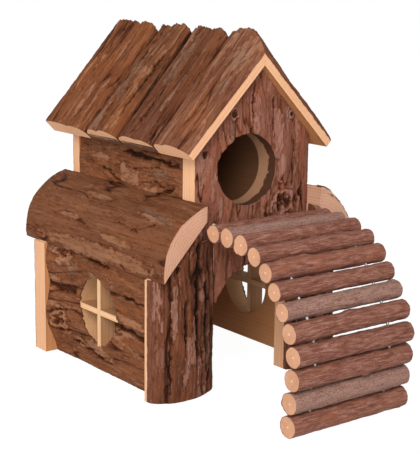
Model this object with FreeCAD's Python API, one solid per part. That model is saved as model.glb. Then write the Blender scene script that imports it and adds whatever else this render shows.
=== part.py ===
import FreeCAD, Part
import math
import os

from FreeCAD import Vector

os.makedirs("parts", exist_ok=True)

# All sizes are in millimetres. While it is built, the house stands with X across its front,
# Y running back from the front wall's sawn edge, and Z up from the ground.

# Tower
TOWER_HALF = 38.4
FRONT_THICK = 10.9
FRONT_CROWN = 13.2
FRONT_LEAN = -0.15
BACK_OUTER_Y = 119.7
BACK_THICK = 7.0
BACK_CROWN = 10.0
BACK_LEAN = 0.2
RIDGE_IN_Z = 171.1
EAVE_IN_X = 45.2
EAVE_IN_Z = 125.5
TONGUE_HALF = 26.4
SHOULDER_Z = 81.5
TONGUE_FOOT_Z = 47.5
HOLE_X = -7.5
HOLE_Z = 117.0
HOLE_R = 18.8
ARCH_R = 26.4
ARCH_Z = 39.5
SIDE_IN_X = 29.5
SIDE_EDGE = 5.6
SIDE_CROWN = 8.8
SIDE_LEAN = -0.35
FLOOR_THICK = 5.5

# Main roof: the bark line of each slab at the eave, from front to back, as (across, height) points; its two
# arcs meet in a furrow. ROOF_RISE is how much each line climbs over ROOF_SLAB_LENGTH
ROOF_FRONT_Y = -7.3
ROOF_BARK = [[(0.0, 4.65), (9.5, 9.6), (20.5, 8.3), (25.0, 8.6), (29.8, 4.9)],
             [(0.0, 4.9), (7.0, 8.8), (14.0, 8.5), (22.0, 9.9), (32.9, 5.4)],
             [(0.0, 5.4), (9.0, 10.5), (18.0, 9.1), (25.0, 9.4), (32.1, 4.9)],
             [(0.0, 4.8), (10.0, 8.9), (17.0, 8.3), (28.0, 9.9), (40.7, 8.9)]]
ROOF_RISE = [0.0, 3.3, 2.5, 3.4]
ROOF_SLAB_LENGTH = 80.0
ROOF_LEAD = 2.0
ROOF_SPARE = 8.0
ROOF_GAP = 0.3
RIDGE_GAP = 0.15

# Side annexes
ANNEX_HALF = 66.4
WALL_IN_X = 47.1
WALL_EDGE_X = 58.4
WALL_CROWN_X = 60.4
WALL_CROWN_Z = 36.0
WALL_TOP_X = 56.0
WALL_TOP_Z = 90.0
BACK_SLAB_IN_Y = 105.9
BACK_SLAB_OUTER = 12.0
BACK_SLAB_INNER = 11.0
BACK_SLAB_CROWN = 14.0
BACK_SLAB_LEAN = 0.2
LEFT_IN_Y = 4.6
RIGHT_IN_Y = 10.8
ROOF_TIP_X = 63.7
ROOF_TIP_Z = 66.8
ROOF_CUT_X = 38.4
ROOF_CUT_Z = 94.0
ROOF_CUT_TOP_Z = 102.4
ANNEX_ROOF_BARK = [(-64.8, 76.0), (-60.5, 87.3), (-50.5, 96.8)]
ANNEX_ROOF_FRONT_Y = -10.3
ANNEX_ROOF_BACK_Y = 129.1
LEFT_BARK = [(-66.4, 0.2), (-60.2, -5.7), (-48.5, -8.0), (-35.5, -5.8), (-26.4, -0.9)]
RIGHT_BARK = [(-66.4, 6.6), (-57.5, -1.0), (-45.0, -4.4), (-34.5, -3.0), (-26.4, 0.2)]
WINDOW_R = 19.1
WINDOW_LEFT = (59.0, 33.8)
WINDOW_RIGHT = (62.9, 34.4)
BAR_WIDTH = 3.2
BAR_DEPTH = 9.5
BAR_OUT_X = 59.6
BAR_SINK = 1.6

# Stick landing and ladder: radius of each stick and its run in degrees below level
STICK_HALF = 38.3
STICK_MID_X = -2.2
STICKS = [(4.75, 0.0), (5.05, 2.0), (5.3, 14.0),
          (4.85, 27.0), (4.95, 44.0), (4.75, 56.0), (4.75, 54.0), (5.15, 64.0), (5.3, 82.0),
          (5.5, 102.0), (5.5, 91.0), (5.6, 96.0)]
LANDING_COUNT = 3
STICK_GAP = 0.9
LADDER_START_Y = -13.0
FLOOR_CLEAR = 0.3
WIRE_X = 25.0
WIRE_R = 0.8
WIRE_SIDES = 12
WIRE_HOLE_R = 0.9
WIRE_TIP_R = 0.35
WIRE_TIP_LONG = 0.5
WIRE_END_GAP = 0.16
WIRE_ANCHOR_Y = 6.0
WIRE_TAIL = 3.0
WIRE_END_CLEAR = 0.2

# Distance that every piece moves along Y so that the whole part's box is centred on the origin
FRAME_SHIFT_Y = -21.7

# How far a cutting tool runs past the piece that it cuts, and a distance from the middle past every piece
TOOL_REACH = 60.0
OUTSIDE = 90.0

ROOF_ANGLE = math.atan2(RIDGE_IN_Z - EAVE_IN_Z, EAVE_IN_X)


def save(name, solids):
    """Move the solids into the part's frame and write them as one STEP file."""
    shape = solids[0] if len(solids) == 1 else Part.makeCompound(solids)
    shape = shape.copy()
    shape.translate(Vector(0, FRAME_SHIFT_Y, 0))
    for solid in shape.Solids:
        if not solid.isValid():
            raise ValueError(name + " holds a solid that isn't valid")
    shape.exportStep("parts/" + name + ".step")
    size = shape.BoundBox
    ends = (size.XMin, size.XMax, size.YMin, size.YMax, size.ZMin, size.ZMax)
    print(name, len(shape.Solids), [round(end, 2) for end in ends])


def one_solid(shape):
    """Return the single solid in a boolean's result."""
    if len(shape.Solids) != 1:
        raise ValueError("expected one solid, got " + str(len(shape.Solids)))
    return shape.Solids[0]


def arcs(points):
    """Return arcs through the points: one arc for each point and its next two."""
    spots = [Vector(*p) for p in points]
    return [Part.Arc(*spots[k:k + 3]).toShape() for k in range(0, len(spots) - 2, 2)]


def outline_face(points, curved):
    """Return a face bounded by arcs through `curved` and straight edges through `points`."""
    edges = arcs(curved)
    chain = [curved[-1]] + points + [curved[0]]
    for start, end in zip(chain, chain[1:]):
        edges.append(Part.makeLine(Vector(*start), Vector(*end)))
    return Part.Face(Part.Wire(edges))


def prism(points, direction):
    """Extrude a closed polygon."""
    wire = Part.makePolygon([Vector(*p) for p in points + points[:1]])
    return Part.Face(wire).extrude(Vector(*direction))


def box(x0, x1, y0, y1, z0, z1):
    """Return the box between two corners."""
    return Part.makeBox(x1 - x0, y1 - y0, z1 - z0, Vector(x0, y0, z0))


def bulge(width, edge_a, edge_b, crown, lean):
    """Return five points of a log slab's bark line: (across, height) from one sawn edge to the other."""
    points = []
    for quarter in range(5):
        t = quarter / 4.0
        edge = edge_a + (edge_b - edge_a) * t
        rise = (1.0 - (2.0 * t - 1.0) ** 2) * (1.0 + lean * (2.0 * t - 1.0))
        points.append((width * t, edge + (crown - edge) * rise))
    return points


def roof_height(x):
    """Return the height of the roof slabs' sawn face above the ground at a distance from the middle."""
    return RIDGE_IN_Z - abs(x) * math.tan(ROOF_ANGLE)


def annex_line(x):
    """Return the height of an annex roof's sawn face at a distance from the middle."""
    slope = (ROOF_CUT_Z - ROOF_TIP_Z) / (ROOF_TIP_X - ROOF_CUT_X)
    return ROOF_TIP_Z + (ROOF_TIP_X - abs(x)) * slope


def mirrored(shape, side):
    """Return a left-hand shape, or its mirror image for the right-hand side."""
    if side < 0:
        return shape
    return shape.mirror(Vector(0, 0, 0), Vector(1, 0, 0))


def tower_wall_outline(foot_z):
    """Return the gabled outline of a tower end wall with the narrow tongue between the annexes."""
    return [(-TONGUE_HALF, foot_z), (TONGUE_HALF, foot_z), (TONGUE_HALF, SHOULDER_Z), (TOWER_HALF, SHOULDER_Z),
            (TOWER_HALF, roof_height(TOWER_HALF)), (0, RIDGE_IN_Z), (-TOWER_HALF, roof_height(TOWER_HALF)),
            (-TOWER_HALF, SHOULDER_Z), (-TONGUE_HALF, SHOULDER_Z)]


def tower_front_wall():
    """Return the front wall: round entrance, arch, gable and the two holes that hold the landing's wire."""
    line = bulge(2 * TOWER_HALF, FRONT_THICK, FRONT_THICK, FRONT_CROWN, FRONT_LEAN)
    bark = [(-TOWER_HALF + across, FRONT_THICK - height, 0) for across, height in line]
    inner = [(TOWER_HALF, FRONT_THICK, 0), (-TOWER_HALF, FRONT_THICK, 0)]
    slab = outline_face(inner, bark).extrude(Vector(0, 0, RIDGE_IN_Z))
    outline = [(x, -TOOL_REACH, z) for x, z in tower_wall_outline(TONGUE_FOOT_Z)]
    back = Vector(0, 1, 0)
    wall = slab.common(prism(outline, back * 2 * TOOL_REACH))
    wall = wall.cut(Part.makeCylinder(HOLE_R, 2 * TOOL_REACH, Vector(HOLE_X, -TOOL_REACH, HOLE_Z), back))
    wall = wall.cut(Part.makeCylinder(ARCH_R, 2 * TOOL_REACH, Vector(0, -TOOL_REACH, ARCH_Z), back))
    depth = TOOL_REACH + WIRE_ANCHOR_Y
    for x in wire_lines():
        wall = wall.cut(Part.makeCylinder(WIRE_HOLE_R, depth, Vector(x, -TOOL_REACH, start_z()), back))
    return one_solid(wall)


def tower_back_wall():
    """Return the closed back wall, whose tongue reaches the ground."""
    inner_y = BACK_OUTER_Y - BACK_THICK
    line = bulge(2 * TOWER_HALF, BACK_THICK, BACK_THICK, BACK_CROWN, BACK_LEAN)
    bark = [(-TOWER_HALF + across, inner_y + height, 0) for across, height in line]
    inner = [(TOWER_HALF, inner_y, 0), (-TOWER_HALF, inner_y, 0)]
    slab = outline_face(inner, bark).extrude(Vector(0, 0, RIDGE_IN_Z))
    outline = [(x, inner_y - TOOL_REACH, z) for x, z in tower_wall_outline(0.0)]
    return one_solid(slab.common(prism(outline, (0, 2 * TOOL_REACH, 0))))


def tower_side_wall():
    """Return the left side wall of the upper room: a slab lying along Y, bevelled under the roof."""
    low = SHOULDER_Z + FLOOR_THICK
    height = roof_height(SIDE_IN_X) - low
    line = bulge(height, SIDE_EDGE, SIDE_EDGE, SIDE_CROWN, SIDE_LEAN)
    y0 = FRONT_THICK
    y1 = BACK_OUTER_Y - BACK_THICK
    bark = [(-SIDE_IN_X - out, y0, low + up) for up, out in line]
    inner = [(-SIDE_IN_X, y0, low + height), (-SIDE_IN_X, y0, low)]
    slab = outline_face(inner, bark).extrude(Vector(0, y1 - y0, 0))
    under = [(-OUTSIDE, y0, 0), (0, y0, 0), (0, y0, RIDGE_IN_Z), (-OUTSIDE, y0, roof_height(OUTSIDE))]
    return one_solid(slab.common(prism(under, (0, y1 - y0, 0))))


def upper_floor():
    """Return the board that carries the upper room and closes the lower one."""
    y1 = BACK_OUTER_Y - BACK_THICK
    return box(-TOWER_HALF, TOWER_HALF, FRONT_THICK, y1, SHOULDER_Z, SHOULDER_Z + FLOOR_THICK)


def roof_slab(index):
    """Return one slab of the left slope: it thickens towards the ridge, where it is cut upright."""
    bark = ROOF_BARK[index]
    width = bark[-1][0]
    y0 = ROOF_FRONT_Y + sum(line[-1][0] + ROOF_GAP for line in ROOF_BARK[:index])
    angle = ROOF_ANGLE + math.atan(ROOF_RISE[index] / ROOF_SLAB_LENGTH)
    upwards = Vector(-math.sin(angle), 0, math.cos(angle))
    along = Vector(math.cos(angle), 0, math.sin(angle))
    foot = Vector(-EAVE_IN_X, y0, EAVE_IN_Z) - along * ROOF_LEAD
    line = [foot + Vector(0, across, 0) + upwards * height for across, height in bark]
    corners = [foot + Vector(0, width, 0) - upwards * ROOF_SPARE, foot - upwards * ROOF_SPARE]
    log = outline_face(corners, line).extrude(along * ROOF_SLAB_LENGTH)
    top = RIDGE_IN_Z + TOOL_REACH
    reach_x = EAVE_IN_X + math.sin(ROOF_ANGLE) * TOOL_REACH
    reach_z = EAVE_IN_Z + math.cos(ROOF_ANGLE) * TOOL_REACH
    trim = [(-EAVE_IN_X, y0, EAVE_IN_Z), (-RIDGE_GAP / 2, y0, roof_height(RIDGE_GAP / 2)),
            (-RIDGE_GAP / 2, y0, top), (-reach_x, y0, reach_z)]
    return one_solid(log.common(prism(trim, (0, width, 0))))


def annex_roof():
    """Return the left annex roof: a half log along Y leaning on the tower, cut upright where they meet."""
    y0 = ANNEX_ROOF_FRONT_Y
    line = [(-ROOF_TIP_X, ROOF_TIP_Z)] + ANNEX_ROOF_BARK + [(-ROOF_CUT_X, ROOF_CUT_TOP_Z)]
    bark = [(x, y0, z) for x, z in line]
    face = outline_face([(-ROOF_CUT_X, y0, ROOF_CUT_Z)], bark)
    return face.extrude(Vector(0, ANNEX_ROOF_BACK_Y - y0, 0))


def annex_slab_top():
    """Return the outline that trims an annex end slab: sloped under its roof, stepped for the tower."""
    return [(-OUTSIDE, 0), (-OUTSIDE, annex_line(OUTSIDE)), (-TOWER_HALF, annex_line(TOWER_HALF)),
            (-TOWER_HALF, SHOULDER_Z), (-TONGUE_HALF, SHOULDER_Z), (-TONGUE_HALF, 0)]


def annex_end_slab(bark_points, inner_y):
    """Return an upright annex slab between its bark line and a flat inner face, trimmed at the top."""
    bark = [(x, y, 0) for x, y in bark_points]
    inner = [(-TONGUE_HALF, inner_y, 0), (-ANNEX_HALF, inner_y, 0)]
    slab = outline_face(inner, bark).extrude(Vector(0, 0, ROOF_CUT_TOP_Z))
    top = [(x, inner_y - TOOL_REACH, z) for x, z in annex_slab_top()]
    return one_solid(slab.common(prism(top, (0, 2 * TOOL_REACH, 0))))


def annex_back_slab(lean):
    """Return the left annex's back slab."""
    width = ANNEX_HALF - TONGUE_HALF
    line = bulge(width, BACK_SLAB_OUTER, BACK_SLAB_INNER, BACK_SLAB_CROWN, lean)
    points = [(-ANNEX_HALF + across, BACK_SLAB_IN_Y + height) for across, height in line]
    return annex_end_slab(points, BACK_SLAB_IN_Y)


def annex_outer_wall(inner_front_y, window):
    """Return the left annex's outer wall: a slab along Y with a round window and notches for its bars."""
    y0 = inner_front_y
    run = Vector(0, BACK_SLAB_IN_Y - y0, 0)
    bark = [(-WALL_EDGE_X, y0, 0.0), (-WALL_CROWN_X, y0, WALL_CROWN_Z), (-WALL_TOP_X, y0, WALL_TOP_Z)]
    face = outline_face([(-WALL_IN_X, y0, WALL_TOP_Z), (-WALL_IN_X, y0, 0.0)], bark)
    slab = face.extrude(run)
    under = [(-OUTSIDE, y0, 0), (-TOWER_HALF, y0, 0), (-TOWER_HALF, y0, annex_line(TOWER_HALF)),
             (-OUTSIDE, y0, annex_line(OUTSIDE))]
    wall = slab.common(prism(under, run))
    hole = Part.makeCylinder(WINDOW_R, OUTSIDE, Vector(-OUTSIDE, window[0], window[1]), Vector(1, 0, 0))
    wall = wall.cut(hole)
    for bar in (window_upright(window), window_crossbar(window)):
        wall = wall.cut(bar)
    return one_solid(wall)


def window_lap(window, outer):
    """Return the half of the crossing that one bar loses to the other."""
    half = BAR_WIDTH / 2
    middle = -BAR_OUT_X + BAR_DEPTH / 2
    x0 = -OUTSIDE if outer else middle
    x1 = middle if outer else 0.0
    return box(x0, x1, window[0] - half, window[0] + half, window[1] - half, window[1] + half)


def window_upright(window):
    """Return the upright bar, let into the wall at both ends and halved where the bars cross."""
    half = BAR_WIDTH / 2
    reach = WINDOW_R + BAR_SINK
    y, z = window
    bar = box(-BAR_OUT_X, -BAR_OUT_X + BAR_DEPTH, y - half, y + half, z - reach, z + reach)
    return one_solid(bar.cut(window_lap(window, False)))


def window_crossbar(window):
    """Return the level bar, halved the other way."""
    half = BAR_WIDTH / 2
    reach = WINDOW_R + BAR_SINK
    y, z = window
    bar = box(-BAR_OUT_X, -BAR_OUT_X + BAR_DEPTH, y - reach, y + reach, z - half, z + half)
    return one_solid(bar.cut(window_lap(window, True)))


def wire_lines():
    """Return the X positions of the two wires."""
    return (STICK_MID_X - WIRE_X, STICK_MID_X + WIRE_X)


def start_z():
    """Return the landing wire's height, from which the last stick just clears the ground."""
    drop = 0.0
    for radius, angle in STICKS[:-1]:
        drop += (2 * radius + STICK_GAP) * math.sin(math.radians(angle))
    radius, angle = STICKS[-1]
    drop += (radius + STICK_GAP / 2) * math.sin(math.radians(angle))
    return FLOOR_CLEAR + radius + drop


def hinge_points():
    """Return the wire's bends: one before the first stick and one after each stick, as (y, z)."""
    points = [(LADDER_START_Y, start_z())]
    for radius, angle in STICKS:
        step = 2 * radius + STICK_GAP
        y, z = points[-1]
        points.append((y - step * math.cos(math.radians(angle)), z - step * math.sin(math.radians(angle))))
    return points


def stick(index):
    """Return one round stick with the two holes drilled for the wires."""
    points = hinge_points()
    (ya, za), (yb, zb) = points[index], points[index + 1]
    radius = STICKS[index][0]
    middle = Vector(STICK_MID_X - STICK_HALF, (ya + yb) / 2, (za + zb) / 2)
    body = Part.makeCylinder(radius, 2 * STICK_HALF, middle, Vector(1, 0, 0))
    along = Vector(0, yb - ya, zb - za).normalize()
    before = radius + STICK_GAP
    after = WIRE_TAIL if index == len(STICKS) - 1 else before
    for x in wire_lines():
        start = Vector(x, middle.y, middle.z) - along * before
        body = body.cut(Part.makeCylinder(WIRE_HOLE_R, before + after, start, along))
    return one_solid(body)


def towards(start, end, distance):
    """Return the (y, z) spot at a distance from the start on the way to the end."""
    share = distance / math.dist(start, end)
    return (start[0] + (end[0] - start[0]) * share, start[1] + (end[1] - start[1]) * share)


def wire_section(x, spot, before, after, radius):
    """Return the corners of a wire's many-sided section at a (y, z) spot, on the mitre between two runs."""
    run_in = Vector(0, spot[0] - before[0], spot[1] - before[1]).normalize()
    run_out = Vector(0, after[0] - spot[0], after[1] - spot[1]).normalize()
    middle = (run_in + run_out).normalize()
    stretch = radius / middle.dot(run_in)
    corners = []
    for side in range(WIRE_SIDES):
        turn = 2 * math.pi * side / WIRE_SIDES
        up = stretch * math.sin(turn)
        corners.append(Vector(x + radius * math.cos(turn), spot[0] - middle.z * up, spot[1] + middle.y * up))
    return corners + corners[:1]


def skin(sections):
    """Return the solid with flat sides between neighbouring sections and a flat face at each end."""
    faces = [Part.Face(Part.makePolygon(sections[0])), Part.Face(Part.makePolygon(sections[-1]))]
    for near, far in zip(sections, sections[1:]):
        for side in range(WIRE_SIDES):
            quad = [near[side], near[side + 1], far[side + 1], far[side], near[side]]
            faces.append(Part.Face(Part.makePolygon(quad)))
    solid = Part.makeSolid(Part.makeShell(faces))
    if solid.Volume < 0:
        solid.reverse()
    return solid


def wire_solid(x, route, taper_start, taper_end):
    """Return a wire along a route of (y, z) spots; an end that meets a bend stops short in a tapered tip."""
    tip = WIRE_TIP_LONG + WIRE_END_GAP / 2
    radii = [WIRE_R] * len(route)
    spots = list(route)
    if taper_start:
        spots[0:1] = [towards(route[0], route[1], WIRE_END_GAP / 2), towards(route[0], route[1], tip)]
        radii[0:1] = [WIRE_TIP_R, WIRE_R]
    if taper_end:
        spots[-1:] = [towards(route[-1], route[-2], tip), towards(route[-1], route[-2], WIRE_END_GAP / 2)]
        radii[-1:] = [WIRE_R, WIRE_TIP_R]
    lead = (2 * spots[0][0] - spots[1][0], 2 * spots[0][1] - spots[1][1])
    follow = (2 * spots[-1][0] - spots[-2][0], 2 * spots[-1][1] - spots[-2][1])
    line = [lead] + spots + [follow]
    sections = []
    for index, radius in enumerate(radii):
        sections.append(wire_section(x, line[index + 1], line[index], line[index + 2], radius))
    return skin(sections)


def landing_wire(x):
    """Return the fixed run of wire: from its hole in the front wall through the three landing sticks."""
    points = hinge_points()[:LANDING_COUNT + 1]
    anchor = (WIRE_ANCHOR_Y - WIRE_END_CLEAR, points[0][1])
    return wire_solid(x, [anchor] + points[1:], False, True)


def ladder_wire(index, x):
    """Return the run of wire that belongs to one ladder stick; the last one ends inside its stick."""
    start, end = hinge_points()[index:index + 2]
    if index < len(STICKS) - 1:
        return wire_solid(x, (start, end), True, True)
    tail = towards(start, end, math.dist(start, end) / 2 + WIRE_TAIL - WIRE_END_CLEAR)
    return wire_solid(x, (start, tail), True, False)


def build_tower():
    """Write the tower's walls and floor."""
    save("tower_front_wall", [tower_front_wall()])
    save("tower_back_wall", [tower_back_wall()])
    save("tower_left_wall", [tower_side_wall()])
    save("tower_right_wall", [mirrored(tower_side_wall(), 1)])
    save("upper_floor", [upper_floor()])


def build_roof():
    """Write the eight slabs of the main roof."""
    for index in range(len(ROOF_BARK)):
        slab = roof_slab(index)
        save("roof_left_slab_" + str(index + 1), [slab])
        save("roof_right_slab_" + str(index + 1), [mirrored(slab, 1)])


def build_annexes():
    """Write both annexes."""
    save("left_annex_roof", [annex_roof()])
    save("right_annex_roof", [mirrored(annex_roof(), 1)])
    save("left_annex_front_wall", [annex_end_slab(LEFT_BARK, LEFT_IN_Y)])
    save("right_annex_front_wall", [mirrored(annex_end_slab(RIGHT_BARK, RIGHT_IN_Y), 1)])
    save("left_annex_back_wall", [annex_back_slab(BACK_SLAB_LEAN)])
    save("right_annex_back_wall", [mirrored(annex_back_slab(-BACK_SLAB_LEAN), 1)])
    walls = (("left", -1, LEFT_IN_Y, WINDOW_LEFT), ("right", 1, RIGHT_IN_Y, WINDOW_RIGHT))
    for name, side, inner_y, window in walls:
        save(name + "_annex_outer_wall", [mirrored(annex_outer_wall(inner_y, window), side)])
        save(name + "_window_upright", [mirrored(window_upright(window), side)])
        save(name + "_window_crossbar", [mirrored(window_crossbar(window), side)])


def build_ladder():
    """Write the landing, the ladder's sticks and their wires."""
    for index in range(len(STICKS)):
        if index < LANDING_COUNT:
            save("landing_stick_" + str(index + 1), [stick(index)])
        else:
            number = str(index + 1 - LANDING_COUNT)
            save("ladder_stick_" + number, [stick(index)])
            save("ladder_wires_" + number, [ladder_wire(index, x) for x in wire_lines()])
    save("landing_wires", [landing_wire(x) for x in wire_lines()])
    for y, z in hinge_points():
        print("hinge", round((y + FRAME_SHIFT_Y) / 1000, 6), round(z / 1000, 6))


build_tower()
build_roof()
build_annexes()
build_ladder()
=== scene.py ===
import logging
import math
from dataclasses import dataclass, field, replace
from enum import Enum
from typing import Any, Optional, Sequence

import bmesh
import bpy
import numpy as np
from mathutils import Matrix, Vector


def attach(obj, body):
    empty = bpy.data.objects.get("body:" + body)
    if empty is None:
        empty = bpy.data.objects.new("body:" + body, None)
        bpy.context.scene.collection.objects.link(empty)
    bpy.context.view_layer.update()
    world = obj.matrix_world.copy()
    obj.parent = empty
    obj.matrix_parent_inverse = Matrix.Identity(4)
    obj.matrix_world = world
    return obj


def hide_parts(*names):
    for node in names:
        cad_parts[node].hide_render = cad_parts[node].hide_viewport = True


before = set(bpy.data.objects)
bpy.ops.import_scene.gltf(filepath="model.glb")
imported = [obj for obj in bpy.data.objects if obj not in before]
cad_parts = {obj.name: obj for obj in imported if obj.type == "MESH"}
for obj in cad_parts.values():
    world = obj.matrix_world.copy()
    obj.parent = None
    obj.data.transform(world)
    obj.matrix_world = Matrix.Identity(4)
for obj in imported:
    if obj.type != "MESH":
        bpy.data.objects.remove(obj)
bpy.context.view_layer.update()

LOG = logging.getLogger("hamster_house")

# The house is laid out in millimetres as in part.py: X across the front, Y back from the front
# wall's sawn edge, Z up from the ground. Placed pieces are in metres, moved by SHIFT_Y along Y.
MM = 0.001
SHIFT_Y = -21.7

Point2 = tuple[float, float]
Point3 = tuple[float, float, float]
Colour = tuple[float, float, float]
Stops = Sequence[tuple[float, Colour]]
Material = bpy.types.Material
Mesh = bpy.types.Mesh
Node = bpy.types.Node
Piece = bpy.types.Object
Socket = bpy.types.NodeSocket

# The house's axes, and how far trimming shapes reach past it
ACROSS, DEPTH, UP = (1.0, 0.0, 0.0), (0.0, 1.0, 0.0), (0.0, 0.0, 1.0)
FAR = 90.0
MARGIN = 5.0

# What the noise mixes a cell's numbers with, and the size of its table
MIX = (374761393, 668265263, 1274126177)
MASK = 0xFFFFFFFF
TABLE = 4096

# Width of the bark's thin lines in its noise, how far its relief may sink and rise in
# millimetres, the level of plain bark, and the plate number of a loose flake
LINE_EDGE = 0.09
DEEPEST, HIGHEST = -2.4, 1.4
PLAIN_LEVEL, FLAKE_PLATE = 0.62, 0.97

# How far bark crumbles and flattens from its sawn edges and its ends, tears down from its top and
# turns in between two slabs, in millimetres, how much lower it is there, and its painted shade
# there
WEAR_EDGE, WEAR_END = 0.9, 0.7
FLAT_EDGE, FLAT_END = 1.8, 2.2
TORN_REACH = 12.0
TURN_REACH = 2.0
TURN_DEPTH, TURN_SHADE = 0.9, 0.8

# Shares of the way from the bark to the sawn edges at which an end's rows of faces lie, the
# materials of a slab's faces, the grain's shift from slab to slab, and points measured at once
END_ROWS = (0.05, 0.12, 0.22, 0.4, 0.65)
BARK_FACE, SAWN_FACE, INNER_FACE = 0, 1, 2
GRAIN_SHIFT = 97.0
BATCH = 20000

# Sides and rings of the holes, the sticks and the wires, and a wire's share of its bends' radius
HOLE_SIDES = 144
STICK_RINGS, STICK_SIDES = 110, 56
WIRE_SIDES, BALL_LEVELS = 20, 3
TUBE_SHARE = 0.96


def linear(red: int, green: int, blue: int) -> Colour:
    """Return a linear colour from 0 to 255 values as a paint chart gives them."""
    def channel(value: int) -> float:
        """Return one channel without its display curve."""
        share = value / 255.0
        return share / 12.92 if share <= 0.04045 else ((share + 0.055) / 1.055) ** 2.4
    return (channel(red), channel(green), channel(blue))


def dimmed(colour: Colour, share: float) -> Colour:
    """Return a colour with a share of its light."""
    return tuple(channel * share for channel in colour)


def step_up(values: np.ndarray, low: float, high: float) -> np.ndarray:
    """Return a smooth rise from 0 at low to 1 at high."""
    share = np.clip((values - low) / (high - low), 0.0, 1.0)
    return share * share * (3.0 - 2.0 * share)


class Side(Enum):
    """The two annexes, by the direction of their outer wall."""

    LEFT = -1
    RIGHT = 1


class Noise:
    """Repeatable smooth noise for one piece."""

    def __init__(self, seed: int) -> None:
        """Fill the table that the noise draws from.

        Args:
            seed: the number that sets the pattern.
        """
        generator = np.random.default_rng(seed)
        self.table = generator.random(TABLE)
        self.start = generator.random(2) * 300.0

    def draw(self, column: np.ndarray, row: np.ndarray) -> np.ndarray:
        """Return a fixed number from 0 to 1 for each cell of a lattice."""
        mixed = (column * MIX[0] + row * MIX[1]) & MASK
        mixed = ((mixed ^ (mixed >> 13)) * MIX[2]) & MASK
        return self.table[(mixed ^ (mixed >> 16)) & (TABLE - 1)]

    def smooth(self, x: np.ndarray, y: np.ndarray) -> np.ndarray:
        """Return rolling noise between about -1 and 1."""
        x = x + self.start[0]
        y = y + self.start[1]
        column = np.floor(x).astype(np.int64)
        row = np.floor(y).astype(np.int64)
        fx = x - column
        fy = y - row

        def corner(dx: int, dy: int) -> np.ndarray:
            """Return the slope of one corner of the lattice at the point."""
            turn = 2.0 * np.pi * self.draw(column + dx, row + dy)
            return np.cos(turn) * (fx - dx) + np.sin(turn) * (fy - dy)

        ux = fx ** 3 * (fx * (fx * 6.0 - 15.0) + 10.0)
        uy = fy ** 3 * (fy * (fy * 6.0 - 15.0) + 10.0)
        low = corner(0, 0) * (1.0 - ux) + corner(1, 0) * ux
        high = corner(0, 1) * (1.0 - ux) + corner(1, 1) * ux
        return (low * (1.0 - uy) + high * uy) * 1.5

    def layered(self, x: np.ndarray, y: np.ndarray, layers: int = 3) -> np.ndarray:
        """Return noise with finer layers added at half strength each."""
        total = np.zeros_like(x)
        for layer in range(layers):
            scale = 2.0 ** layer
            total = total + self.smooth(x * scale + 19.0 * layer, y * scale + 7.0 * layer) / scale
        return total


class Mark(Enum):
    """What a placed mark does to the bark."""

    KNOT = "knot"
    LICHEN = "lichen"
    FLAKE = "flake"
    CRACK = "crack"
    BULGE = "bulge"


@dataclass(frozen=True)
class BarkMark:
    """One feature of the bark, placed one by one.

    Args:
        kind: what it is.
        across: place along the bark line, in millimetres from its first edge.
        along: place along the grain, in millimetres.
        wide: half its width across the grain.
        long: half its length along the grain.
        lean: how far it slants across, per millimetre along.
        height: how strongly it is raised or cut in.
    """

    kind: Mark
    across: float
    along: float
    wide: float
    long: float
    lean: float = 0.0
    height: float = 1.0


@dataclass(frozen=True)
class BarkStyle:
    """How one kind of bark is furrowed. Lengths are in millimetres."""

    furrow_across: float = 9.0
    furrow_along: float = 60.0
    furrow_depth: float = 1.0
    peel_across: float = 8.0
    peel_along: float = 34.0
    peel_step: float = 0.5
    crease_depth: float = 0.35
    fibre_depth: float = 0.16
    swell: float = 0.7
    edge_wear: float = 0.35
    ragged_top: float = 0.0
    first_edge: float = 0.0
    last_edge: float = 0.0


@dataclass(frozen=True)
class BarkField:
    """The bark at points: its relief and swelling in millimetres and three masks from 0 to 1."""

    relief: np.ndarray
    swelling: np.ndarray
    level: np.ndarray
    plate: np.ndarray
    lichen: np.ndarray


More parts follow.
